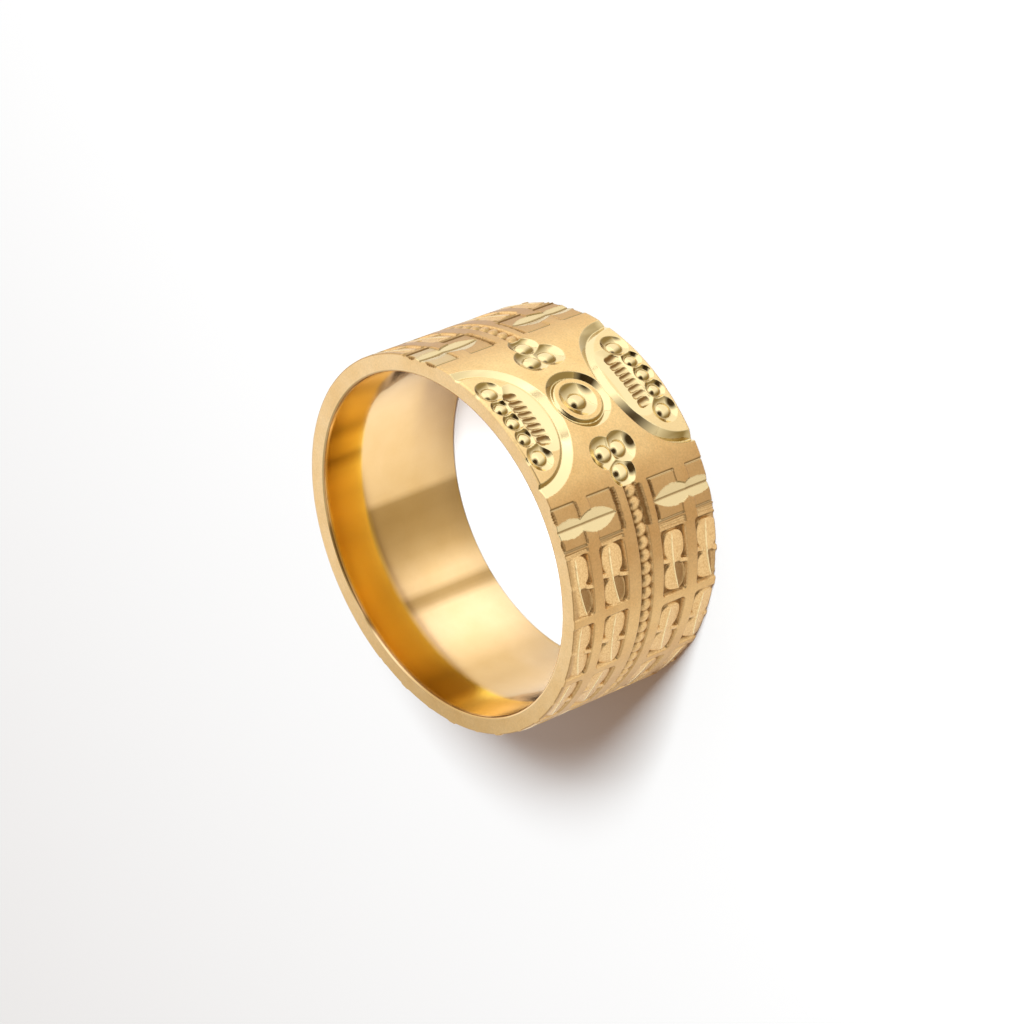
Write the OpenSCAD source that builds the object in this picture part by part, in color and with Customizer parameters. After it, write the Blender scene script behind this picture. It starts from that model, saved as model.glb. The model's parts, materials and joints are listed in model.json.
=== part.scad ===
// Wide band ring with a bright-cut front and cast side panels, lying on one end face.
// The bore axis is +Z, the lower end face lies on z = 0, and the front motif faces -Y.
// A bearing is an angle round the ring from the front, counted towards +X.
// A station is a height measured from the middle of the band at that bearing.

/* [Band] */
// Inner diameter, the finger size
finger_d = 17.3; // [17:0.1:21]
// Thickness of the wall
wall = 0.92; // [0.8:0.02:1.4]
// Width of the band at the front
width_front = 9.7; // [9:0.1:10.4]
// Width of the band at the back
width_back = 8.2; // [7.8:0.1:9.6]
// Chamfer between the bore and the end faces
bore_chamfer = 0.1; // [0.05:0.01:0.15]

/* [Target] */
// Radius of the ring groove round the target
target_r = 1.65; // [1.4:0.05:1.75]
// Width of the groove's sloping outer flank
target_flank = 0.3; // [0.2:0.02:0.34]
// Depth of the groove
target_depth = 0.18; // [0.12:0.01:0.24]
// Radius of the bowl
bowl_r = 0.95; // [0.8:0.01:1.05]
// Depth of the bowl
bowl_depth = 0.34; // [0.24:0.01:0.4]
// Radius of the dome in the bowl
bowl_dome_r = 0.5; // [0.4:0.01:0.56]

/* [Half discs] */
// Half length of each half disc along the edge
disc_reach = 3.95; // [3.7:0.05:4.1]
// Height of each half disc from the edge
disc_rise = 3.3; // [3.1:0.05:3.4]
// Width of the arc groove
arc_width = 0.75; // [0.5:0.05:0.85]
// Depth of the arc groove
arc_depth = 0.18; // [0.12:0.01:0.24]
// Depth of the scoops round the domes
cell_depth = 0.3; // [0.24:0.01:0.34]
// Ridges in each slot
slot_ridges = 7; // [5:1:9]

/* [Trefoils] */
// Bearing of the two inner domes of a trefoil
trefoil_inner = 17.6; // [16:0.1:19]
// Bearing of the outer dome
trefoil_outer = 24.3; // [23:0.1:25.5]
// Distance of each inner dome from the middle of the band
trefoil_spread = 0.46; // [0.4:0.01:0.55]

/* [Beaded line] */
// Number of beads
beads = 78; // [70:1:80]
// Width of a bead
bead_w = 0.59; // [0.5:0.01:0.6]
// Width of the channel that the beads lie in
channel_w = 1; // [0.9:0.05:1.1]
// Depth of the channel
channel_depth = 0.24; // [0.18:0.01:0.3]

/* [Panels] */
// Depth of the pockets
pocket_depth = 0.26; // [0.18:0.01:0.3]
// Height of a leaf above its pocket's floor
leaf_rise = 0.22; // [0.14:0.01:0.24]
// Width of the bars between pockets along the band
bar_w = 0.38; // [0.3:0.02:0.5]
// Depth of the marquise cut across each block
marquise_depth = 0.17; // [0.1:0.01:0.2]

/* [Hidden] */
gold = "#E8BE7A";

outer_r = finger_d / 2 + wall;
width_mean = (width_front + width_back) / 2;
width_taper = (width_front - width_back) / 2;
face_tilt = atan(width_taper / outer_r);
clear = 1;
round_fn = 96;
cell_fn = 24;

// Cells of a half disc: distance along the edge, station from the edge, scoop radius, dome radius
DISC_CELLS = [
    [-2.05, 0.78, 0.80, 0.42],
    [-0.95, 0.62, 0.52, 0.33],
    [0.02, 0.60, 0.52, 0.34],
    [0.98, 0.62, 0.52, 0.33],
    [2.08, 0.80, 0.80, 0.42]
];
slot_station = 1.68;
slot_reach = 1.55;
slot_w = 0.86;
slot_depth = 0.2;
slot_ridge_w = 0.13;
ridge_drop = 0.04;
arc_steps = 24;
arc_overrun = 8;

// Cells of a trefoil: bearing, distance from the middle in spreads, scoop radius, dome radius
TREFOIL_CELLS = [
    [trefoil_inner, 1, 0.80, 0.44],
    [trefoil_inner, -1, 0.80, 0.44],
    [trefoil_outer, 0, 0.72, 0.46]
];

// Columns of pockets: direction from the middle, near and far edge, leaf station, lobe radius, pockets
COLUMNS = [
    [1, 3.32, 5.4, 4.16, 0.76, 13],
    [1, 1.1, 2.68, 1.88, 0.7, 13],
    [-1, 1.1, 2.68, 1.88, 0.7, 12],
    [-1, 3.32, 5.4, 4.16, 0.76, 12]
];
// Blocks: side of the front, direction from the middle, first bearing, last bearing, first pocket's bearing
BLOCKS = [
    [-1, 1, 27.3, 39.6, 41.7],
    [-1, -1, 28.9, 41.3, 44.3],
    [1, 1, 29.8, 42.1, 44.3],
    [1, -1, 29.8, 42.1, 44.3]
];
line_w = 0.14;
line_depth = 0.08;
block_slot = [0.78, 1.1];
leaf_pitch = 1.34;
marquise_half = 1.1;
marquise_half_w = 0.55;
channel_start = 28;
bead_rise = 0.21;
target_groove = 0.36;
target_steps = 32;
dome_drop = 0.03;
lip = 0.5;

function arc_angle(distance) = distance / outer_r * 180 / PI;
function cap_radius(half_w, rise) = (half_w * half_w + rise * rise) / (2 * rise);
function width_at(bearing) = width_mean + width_taper * cos(bearing);
function height_at(bearing, station) = width_at(bearing) / 2 + station * width_at(bearing) / width_front;
function on_surface(bearing, z, rise) = let (r = outer_r + rise)
    [r * sin(bearing), -r * cos(bearing), z];
function first_pocket(side, way) =
    [for (row = BLOCKS) if (row[0] == side && row[1] == way) row[4]][0];

// Puts its children on the surface with +Z outwards, +Y along the band and +X down
module at(bearing, z) {
    rotate([0, 0, bearing - 90]) translate([outer_r, 0, z]) rotate([0, 90, 0]) children();
}

// A curved block that follows the band between two bearings and two heights
module sector(start, end, low, high, depth) {
    rotate([0, 0, start - 90]) rotate_extrude(angle = end - start, $fn = round_fn)
        translate([outer_r - depth, low]) square([depth + clear, high - low]);
}

// A sharp groove along a path of bearings and heights, for cutting. It has its flanks inner and outer,
// and goes on above the surface by the share lip of its depth.
module vee_sweep(path, across, inner, outer, depth, closed) {
    n = len(path);
    section = [[-inner * (1 + lip), lip * depth], [0, -depth], [outer * (1 + lip), lip * depth]];
    m = len(section);
    points = [for (i = [0:n - 1], s = section) on_surface(
        path[i][0] + arc_angle(across[i][0] * s[0]), path[i][1] + across[i][1] * s[0], s[1])];
    last = closed ? n - 1 : n - 2;
    sides = [for (i = [0:last], k = [0:m - 1]) let (j = (i + 1) % n, l = (k + 1) % m)
        each [[i * m + k, j * m + k, j * m + l], [i * m + k, j * m + l, i * m + l]]];
    ends = closed ? [] : [[for (k = [0:m - 1]) k], [for (k = [m - 1:-1:0]) (n - 1) * m + k]];
    polyhedron(points = points, faces = concat(sides, ends));
}

// A low dome, given by its half width and rise where it leaves z = 0
module cap(half_w, rise) {
    r = cap_radius(half_w, rise);
    translate([0, 0, rise - r]) sphere(r = r, $fn = cell_fn);
}

// Scoops cut round domes that stay standing: each cell is a bearing, a height, a scoop and a dome radius
module domed_cells(cells, depth) {
    difference() {
        for (cell = cells) at(cell[0], cell[1]) translate([0, 0, -depth])
            cylinder(r1 = cell[3], r2 = cell[2] + (cell[2] - cell[3]) * clear / depth, h = depth + clear,
                $fn = cell_fn);
        for (cell = cells) at(cell[0], cell[1]) translate([0, 0, -depth])
            cap(cell[3], depth - dome_drop);
    }
}

// The band before it is decorated: a bored blank whose upper face slopes down to the back
module blank() {
    difference() {
        cylinder(r = outer_r, h = width_front + clear, $fn = round_fn);
        translate([0, 0, -clear]) cylinder(d = finger_d, h = width_front + 3 * clear, $fn = round_fn);
        translate([0, 0, -clear]) bore_cone();
        on_top_face() mirror([0, 0, 1]) translate([0, 0, -clear]) bore_cone();
        on_top_face() translate([0, 0, outer_r]) cube([4 * outer_r, 4 * outer_r, 2 * outer_r], center = true);
    }
}

// The chamfer cutter at a mouth of the bore, with its wide end down
module bore_cone() {
    mouth_r = finger_d / 2 + bore_chamfer;
    cylinder(r1 = mouth_r + clear, r2 = mouth_r - clear, h = 2 * clear, $fn = round_fn);
}

// Puts its children on the sloping upper face
module on_top_face() {
    translate([0, 0, width_mean]) rotate([-face_tilt, 0, 0]) children();
}

// The round motif in the middle of the front
module target() {
    z = width_front / 2;
    r = target_r - target_flank;
    across = [for (k = [1:target_steps]) let (t = k * 360 / target_steps) [cos(t), sin(t)]];
    path = [for (a = across) [arc_angle(r * a[0]), z + r * a[1]]];
    vee_sweep(path, across, target_groove - target_flank, target_flank, target_depth, true);
    domed_cells([[0, z, bowl_r, bowl_dome_r]], bowl_depth);
}

// One half disc on an edge of the band, way = 1 for the upper edge and -1 for the lower one
module half_disc(way) {
    edge = way > 0 ? width_front : 0;
    reach = disc_reach - arc_width / 2;
    rise = disc_rise - arc_width / 2;
    turns = [for (k = [0:arc_steps]) 90 - way * (90 + arc_overrun) * (1 - 2 * k / arc_steps)];
    path = [for (t = turns) [arc_angle(reach * cos(t)), edge - way * rise * sin(t)]];
    across = [for (t = turns) [rise * cos(t), -way * reach * sin(t)] / norm([rise * cos(t), reach * sin(t)])];
    vee_sweep(path, across, arc_width / 2, arc_width / 2, arc_depth, false);
    domed_cells([for (c = DISC_CELLS) [arc_angle(c[0]), edge - way * c[1], c[2], c[3]]], cell_depth);
    slot(edge - way * slot_station);
}

// The long slot of a half disc, with its row of ridges left standing
module slot(z) {
    turn = arc_angle(slot_reach - slot_w / 2);
    pitch = 2 * turn / (slot_ridges + 1);
    difference() {
        union() {
            sector(-turn, turn, z - slot_w / 2, z + slot_w / 2, slot_depth);
            for (side = [-1, 1]) at(side * turn, z) translate([0, 0, -slot_depth])
                cylinder(d = slot_w, h = slot_depth + clear, $fn = cell_fn);
        }
        for (k = [1:slot_ridges]) at(-turn + k * pitch, z) translate([-slot_w, -slot_ridge_w / 2, -clear])
            cube([2 * slot_w, slot_ridge_w, clear - ridge_drop]);
    }
}

// Three domed cells beside the target
module trefoil(side) {
    domed_cells([for (c = TREFOIL_CELLS)
        [side * c[0], height_at(c[0], c[1] * trefoil_spread), c[2], c[3]]], cell_depth);
}

// The channel of the beaded line, cut round beads that stay standing
module channel() {
    span = 360 - 2 * channel_start;
    pitch = span / beads;
    difference() {
        in_middle_plane() rotate([0, 0, channel_start - 90]) rotate_extrude(angle = span, $fn = round_fn)
            translate([outer_r - channel_depth, -channel_w / 2]) square([channel_depth + clear, channel_w]);
        for (k = [0:beads - 1]) let (b = channel_start + (k + 0.5) * pitch)
            at(b, height_at(b, 0)) translate([0, 0, -channel_depth]) cap(bead_w / 2, bead_rise);
    }
}

// Puts its children in the sloping middle plane of the band
module in_middle_plane() {
    translate([0, 0, width_mean / 2]) rotate([-face_tilt / 2, 0, 0]) children();
}

// A pocket of one column, cut round the two lobes of its leaf
module pocket(start, end, way, near, far, leaf, lobe) {
    b = (start + end) / 2;
    z1 = height_at(b, way * near);
    z2 = height_at(b, way * far);
    difference() {
        sector(start, end, min(z1, z2), max(z1, z2), pocket_depth);
        for (side = [-1, 1]) at(b + side * arc_angle(leaf_pitch / 2), height_at(b, way * leaf))
            translate([0, 0, -pocket_depth]) cap(lobe, leaf_rise);
    }
}

// One column of pockets round the band, from the last block of one side to that of the other
module pockets(column) {
    way = column[0];
    start = -first_pocket(-1, way);
    gap = arc_angle(bar_w);
    span = 360 + start - first_pocket(1, way) + gap;
    pitch = span / column[5];
    for (k = [0:column[5] - 1]) let (b = start - (k + 1) * pitch + gap)
        pocket(b, b + pitch - gap, way, column[1], column[2], column[3], column[4]);
}

// A plain block with its lines, its dark slot and the two marquise cuts that cross it
module block(side, way, start, end) {
    b = side * (start + end) / 2;
    half = (end - start) / 2;
    slot_z = [for (station = block_slot) height_at(b, way * station)];
    for (col = [COLUMNS[0], COLUMNS[1]]) {
        for (a = [start, end]) cross_line(side * a, way, col);
        marquise(b, height_at(b, way * (col[1] + marquise_half)));
    }
    sector(b - half, b + half, min(slot_z), max(slot_z), pocket_depth);
}

// A fine sharp groove across one column
module cross_line(bearing, way, col) {
    z1 = height_at(bearing, way * col[1]);
    z2 = height_at(bearing, way * col[2]);
    half = line_w * (line_depth + clear) / line_depth / 2;
    at(bearing, (z1 + z2) / 2) rotate([0, 90, 0]) linear_extrude(height = abs(z2 - z1), center = true)
        polygon([[line_depth, 0], [-clear, half], [-clear, -half]]);
}

// A pointed leaf cut by the sharp rim of a wheel that turns along the bore axis
module marquise(bearing, z) {
    disc_r = cap_radius(marquise_half, marquise_depth);
    half = 1.5 * marquise_half_w;
    drop = marquise_depth * half / marquise_half_w;
    at(bearing, z) translate([0, 0, disc_r - marquise_depth]) rotate([90, 0, 0])
        rotate_extrude($fn = round_fn)
            polygon([[0, -half], [disc_r - drop, -half], [disc_r, 0], [disc_r - drop, half], [0, half]]);
}

// The whole ring
module band() color(gold) {
    difference() {
        blank();
        target();
        for (way = [-1, 1]) half_disc(way);
        for (side = [-1, 1]) trefoil(side);
        channel();
        for (column = COLUMNS) pockets(column);
        for (row = BLOCKS) block(row[0], row[1], row[2], row[3]);
    }
}
band();
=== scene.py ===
"""A wide band ring of pale yellow gold, lying on its side on a plain white table.

The ring is one casting. Its outer side is a field of heights: each ornament cuts its own shape into the
field, and the field is then wrapped round the bore, as closed sections of the band.
Sizes are in millimetres up to the point where a mesh is written, in metres.
A bearing is an angle in degrees round the ring from its front, counted towards +X.
A station is a height above the middle of the band, stretched with the band's width at that bearing.
"""
import json
import logging
import math
from dataclasses import dataclass, field
from enum import Enum
from typing import Optional, Protocol

import bpy
import numpy as np
from mathutils import Matrix, Vector


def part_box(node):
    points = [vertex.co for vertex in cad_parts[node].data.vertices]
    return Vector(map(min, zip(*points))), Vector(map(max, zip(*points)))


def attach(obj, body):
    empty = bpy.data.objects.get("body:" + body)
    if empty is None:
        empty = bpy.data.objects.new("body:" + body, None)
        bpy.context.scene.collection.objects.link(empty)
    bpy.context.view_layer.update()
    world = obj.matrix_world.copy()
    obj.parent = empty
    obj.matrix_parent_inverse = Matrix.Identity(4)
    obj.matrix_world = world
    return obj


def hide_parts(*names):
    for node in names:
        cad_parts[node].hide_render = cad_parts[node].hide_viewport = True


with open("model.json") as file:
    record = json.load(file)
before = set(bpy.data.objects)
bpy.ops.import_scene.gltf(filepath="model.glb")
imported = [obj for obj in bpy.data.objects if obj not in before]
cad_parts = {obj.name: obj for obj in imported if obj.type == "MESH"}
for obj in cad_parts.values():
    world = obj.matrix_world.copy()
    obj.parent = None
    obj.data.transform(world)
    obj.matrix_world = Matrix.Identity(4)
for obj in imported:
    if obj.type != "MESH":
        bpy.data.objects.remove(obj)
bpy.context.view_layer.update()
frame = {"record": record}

logging.basicConfig(level=logging.INFO, format="%(message)s")
log = logging.getLogger("band_ring")

MM = 0.001
BODY = "root"
NODE = "band"
MOUTH = "mouth"
TINY = 1e-6
FALL_BEYOND = 4.0

Rows = tuple[np.ndarray, np.ndarray]
Tree = bpy.types.NodeTree
Socket = bpy.types.NodeSocket
Rgba = tuple[float, float, float, float]


class Side(Enum):
    """The two edges of the band, as the sign of a station."""

    UPPER = 1
    LOWER = -1


class Turn(Enum):
    """The two ways round from the front, as the sign of a bearing."""

    RIGHT = 1
    LEFT = -1


def ramp(value: np.ndarray, low: float, high: float) -> np.ndarray:
    """Grades a value from 0 at low to 1 at high, in a straight line.

    Args:
        value: what is graded.
        low: the value that gives 0.
        high: the value that gives 1.

    Returns:
        The grades, from 0 to 1.
    """
    return np.clip((value - low) / (high - low), 0.0, 1.0)


def soft_ramp(value: np.ndarray, low: float, high: float) -> np.ndarray:
    """Grades a value as ramp does, with both ends eased.

    Args:
        value: what is graded.
        low: the value that gives 0.
        high: the value that gives 1.

    Returns:
        The grades, from 0 to 1.
    """
    grade = ramp(value, low, high)
    return grade * grade * (3.0 - 2.0 * grade)


def dome(distance: np.ndarray, radius: float, rise: float) -> np.ndarray:
    """Gives the height of a ball's cap over its own base.

    Args:
        distance: distance from the cap's axis.
        radius: radius of its base.
        rise: height of its top.

    Returns:
        The heights, which go on below 0 outside the base.
    """
    ball = (radius * radius + rise * rise) / (2.0 * rise)
    inside = np.sqrt(np.clip(ball * ball - distance * distance, 0.0, None))
    outside = np.clip(distance - ball, 0.0, None) * FALL_BEYOND
    return inside - outside - (ball - rise)


def bowl(distance: np.ndarray, radius: float, depth: float) -> np.ndarray:
    """Gives the height of a hollow scooped by a ball, 0 at its rim and rising outside it.

    Args:
        distance: distance from the scoop's axis.
        radius: radius of its rim.
        depth: depth in its middle.

    Returns:
        The heights.
    """
    return -dome(distance, radius, depth)


@dataclass(frozen=True)
class Blank:
    """The plain band before it is decorated.

    Its bore and its outside are true cylinders. The lower end face is flat on z = 0 and the upper one
    slopes down from the front to the back. The bore's polish leans outwards near its mouths, by the
    comfort angles in degrees, and less between the bearings of the flatter part.
    """

    bore_r: float
    outer_r: float
    width_front: float
    width_back: float = 8.2
    bore_round: float = 0.1
    comfort_reach: float = 3.25
    comfort_start: float = 2.2
    comfort_lean: float = 9.3
    comfort_mouth_lean: float = 14.0
    flatter_from: float = 207.0
    flatter_to: float = 218.0
    flatter_ebb: float = 290.0
    flatter_end: float = 352.0
    flatter_share: float = 0.6
    mouth_from: float = 0.75
    mouth_full: float = 0.95
    rim_round: float = 0.05
    rim_cut: float = 0.07
    rim_cut_reach: float = 22.0
    rim_cut_fade: float = 2.0

    @classmethod
    def from_frame(cls) -> "Blank":
        """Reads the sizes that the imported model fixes: the box of the band and the radius of its bore."""
        low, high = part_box(NODE)
        bores = [m for m in frame["record"]["mounts"] if m["kind"] == "bore"]
        return cls(bores[0]["dims"]["r_mm"], (high.x - low.x) / 2.0 / MM, high.z / MM)

    @property
    def mean_width(self) -> float:
        """Width of the band halfway between the front and the back."""
        return (self.width_front + self.width_back) / 2.0

    @property
    def taper(self) -> float:
        """How much wider than the mean the band is at its front."""
        return (self.width_front - self.width_back) / 2.0

    @property
    def mm_per_degree(self) -> float:
        """Length of one degree round the outside."""
        return math.radians(1.0) * self.outer_r

    def top(self, bearing: float | np.ndarray, radius: float | np.ndarray) -> np.ndarray:
        """Gives the height of the upper end face.

        Args:
            bearing: bearings in degrees.
            radius: distance from the axis of the bore.

        Returns:
            The heights above the lower end face.
        """
        return self.mean_width + self.taper * np.cos(np.radians(bearing)) * radius / self.outer_r

    def lean(self, below: np.ndarray, above: np.ndarray) -> np.ndarray:
        """Gives the angle that the polish of the bore leans outwards by, towards the nearer mouth.

        Args:
            below: distances from the lower mouth.
            above: distances from the upper mouth.

        Returns:
            Angles in radians, positive where the surface looks upwards.
        """
        more_at_mouth = self.comfort_mouth_lean - self.comfort_lean
        total = np.zeros_like(above)
        for sign, distance in ((1.0, above), (-1.0, below)):
            middle = self.comfort_lean * (1.0 - soft_ramp(distance, self.comfort_start, self.comfort_reach))
            mouth = more_at_mouth * (1.0 - ramp(distance, 0.0, self.comfort_start))
            total += sign * (middle + mouth)
        return np.radians(total)

    def lean_left(self, bearing: np.ndarray) -> np.ndarray:
        """Gives the share of the lean that is left at a bearing, less where the bore is polished flatter."""
        turn = bearing % 360.0
        flatter = soft_ramp(turn, self.flatter_from, self.flatter_to)
        flatter = flatter - soft_ramp(turn, self.flatter_ebb, self.flatter_end)
        return 1.0 - self.flatter_share * flatter

    def mouth_share(self, lean: np.ndarray) -> np.ndarray:
        """Gives how far each point of the bore belongs to a mouth, from 0 to 1, by its lean in radians."""
        middle = self.comfort_lean
        return ramp(np.degrees(lean), self.mouth_from * middle, self.mouth_full * middle)

    def rounding(self, bearing: np.ndarray) -> np.ndarray:
        """Gives the radius of the outer rims, which a bright cut widens beside the half discs."""
        near = 1.0 - soft_ramp(np.abs(bearing), self.rim_cut_reach - self.rim_cut_fade, self.rim_cut_reach)
        return self.rim_round + self.rim_cut * near


class Relief:
    """The heights and finishes of the band's outer side, over a grid of bearings and heights.

    height is 0 on the plain band and negative in a cut. The other fields go from 0 to 1: polish is 1
    on a bright cut, cast is 1 where the metal is as it was cast, recess is 1 where painted shade darkens
    the bottom of a hollow, a crease or one flank, and shade is 1 on the flanks that look towards the
    dimmer side.
    """

    FIELDS = ("height", "polish", "cast", "recess", "shade")

    def __init__(self, blank: Blank, bearings: np.ndarray, shares: np.ndarray) -> None:
        """Lays out a plain grid.

        Args:
            blank: the band that the grid lies on.
            bearings: bearings of the grid's columns.
            shares: places of its rows, as shares of the band's width.
        """
        self.blank = blank
        self.bearing, share = np.meshgrid(bearings, shares, indexing="ij")
        width = blank.top(self.bearing, blank.outer_r)
        self.z = share * width
        self.station = (share - 0.5) * blank.width_front
        self.along = np.radians(self.bearing) * blank.outer_r
        for name in self.FIELDS:
            setattr(self, name, np.zeros_like(self.z))

    def window(self, start: float, end: float) -> Optional["Relief"]:
        """Gives the part of the grid between two bearings, which shares its numbers with the whole.

        Args:
            start: the lowest bearing.
            end: the highest bearing.

        Returns:
            The part, or None where no column lies between the two.
        """
        bearings = self.bearing[:, 0]
        found = np.nonzero((bearings >= start) & (bearings <= end))[0]
        if len(found) == 0:
            return None
        part = object.__new__(Relief)
        rows = slice(found[0], found[-1] + 1)
        part.blank = self.blank
        for name in ("bearing", "z", "station", "along") + self.FIELDS:
            setattr(part, name, getattr(self, name)[rows])
        return part

    def cut(
        self, shape: np.ndarray, polish: float | np.ndarray = 0.0, cast: float | np.ndarray = 0.0,
        recess: float | np.ndarray = 0.0,
    ) -> None:
        """Lowers the surface to a shape wherever the shape lies below it, and gives it a finish there.

        Args:
            shape: heights of the cutter.
            polish: share of bright cut, a number or a field.
            cast: share of cast skin.
            recess: share of painted shade, with a rougher finish, in a hollow, a crease or on one flank.
        """
        deeper = shape < self.height
        self.height[deeper] = shape[deeper]
        for name, value in (("polish", polish), ("cast", cast), ("recess", recess)):
            getattr(self, name)[deeper] = np.broadcast_to(value, shape.shape)[deeper]


class Ornament(Protocol):
    """Anything that is cut into the band's outer side."""

    def carve(self, relief: Relief) -> None:
        """Cuts the ornament.

        Args:
            relief: the surface that is cut.
        """


@dataclass(frozen=True)
class Ripple:
    """An uneven ripple that a tool leaves: its rise, its pace, and the sway that makes it uneven."""

    rise: float
    pace: float
    sway: float
    sway_pace: float

    def over(self, place: np.ndarray, across: np.ndarray) -> np.ndarray:
        """Gives the ripple's height.

        Args:
            place: where each point lies along the ripple.
            across: what the sway follows.

        Returns:
            The heights, above and below 0.
        """
        return self.rise * np.cos(place * self.pace + self.sway * np.sin(across * self.sway_pace))


@dataclass(frozen=True)
class SideShade:
    """Dimming of the flanks that look one way, where the photo's cuts mirror the table's dim side.

    Its heading counts from the left-hand way round the band towards the upper rim.
    """

    heading: float = -15.0
    gentle: float = 0.2
    steep: float = 0.6
    on_cast: float = 0.5

    def lay(self, relief: Relief) -> None:
        """Works out the shade from the slopes of the finished surface.

        Args:
            relief: the surface.
        """
        along = np.gradient(relief.height, axis=0) / np.gradient(relief.along, axis=0)
        across = np.gradient(relief.height, axis=1) / np.gradient(relief.z, axis=1)
        turn = math.radians(self.heading)
        slope = along * math.cos(turn) - across * math.sin(turn)
        share = self.on_cast + (1.0 - self.on_cast) * relief.polish
        relief.shade[:] = share * ramp(slope, self.gentle, self.steep)


@dataclass(frozen=True)
class Cell:
    """A dome left standing in its own scoop: its place, both radii, and how far up the dome is off."""

    along: float
    z: float
    scoop_r: float
    dome_r: float
    dome_off: float = 0.0


@dataclass(frozen=True)
class DomedCells:
    """Scoops cut by a round tool, which merge, with a small ball left standing in each."""

    cells: tuple[Cell, ...]
    depth: float
    dome_rise: float
    halo: float = 0.12
    halo_on_dome: float = 0.5
    foot_reach: float = 0.06
    foot_dark: float = 0.65

    def carve(self, relief: Relief) -> None:
        """Cuts the scoops and leaves the domes.

        Args:
            relief: the surface that is cut.
        """
        floor = np.full_like(relief.z, np.inf)
        domes = np.full_like(relief.z, -np.inf)
        for cell in self.cells:
            r = np.hypot(relief.along - cell.along, relief.z - cell.z)
            floor = np.minimum(floor, bowl(r, cell.scoop_r, self.depth))
            base = float(bowl(np.array(cell.dome_r), cell.scoop_r, self.depth))
            r = np.hypot(relief.along - cell.along, relief.z - cell.z - cell.dome_off)
            domes = np.maximum(domes, base + dome(r, cell.dome_r, self.dome_rise))
        shape = np.maximum(floor, np.where(floor < 0.0, domes, -np.inf))
        # Painted shade: a dark ring at the foot of each dome, and a darkening that grows with the depth of
        # its scoop, less on the dome.
        foot = 1.0 - ramp(np.abs(floor - domes), 0.0, self.foot_reach)
        halo = self.halo * ramp(-floor, 0.0, self.depth) * np.where(domes > floor, self.halo_on_dome, 1.0)
        dark = np.maximum(self.foot_dark * foot, halo)
        relief.cut(np.where(floor < 0.0, shape, 0.0), polish=1.0, recess=dark)


@dataclass(frozen=True)
class Target:
    """The round motif in the middle of the front: a ring groove, a flat ring, and a bowl with a dome."""

    centre_z: float = 4.88
    groove_r: float = 1.65
    flank: float = 0.3
    wall: float = 0.14
    groove_depth: float = 0.25
    ring_drop: float = 0.08
    ring_edge: float = 0.03
    bowl_r: float = 0.98
    bowl_depth: float = 0.34
    dome_r: float = 0.5
    dome_rise: float = 0.24
    halo: float = 0.1
    foot_reach: float = 0.06
    foot_dark: float = 0.6

    def carve(self, relief: Relief) -> None:
        """Cuts the target.

        Args:
            relief: the surface that is cut.
        """
        r = np.hypot(relief.along, relief.z - self.centre_z)
        bottom = self.groove_r - self.flank
        ring_r = bottom - self.wall
        groove = -self.groove_depth * ramp(r, self.groove_r, bottom)
        groove += (self.groove_depth - self.ring_drop) * ramp(r, bottom, ring_r)
        relief.cut(groove, polish=ramp(r, ring_r - self.ring_edge, ring_r))
        hollow = bowl(r, self.bowl_r, self.bowl_depth) - self.ring_drop
        base = -self.ring_drop + float(bowl(np.array(self.dome_r), self.bowl_r, self.bowl_depth))
        ball = base + dome(r, self.dome_r, self.dome_rise)
        # Painted shade: a dark ring at the foot of the dome, and a darkening that grows with the depth of the
        # bowl.
        foot = self.foot_dark * (1.0 - ramp(np.abs(hollow - ball), 0.0, self.foot_reach))
        halo = self.halo * ramp(-hollow, self.ring_drop, self.bowl_depth)
        shape = np.where(r < self.bowl_r, np.maximum(hollow, ball), 0.0)
        relief.cut(shape, polish=1.0, recess=np.maximum(foot, halo))


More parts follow.
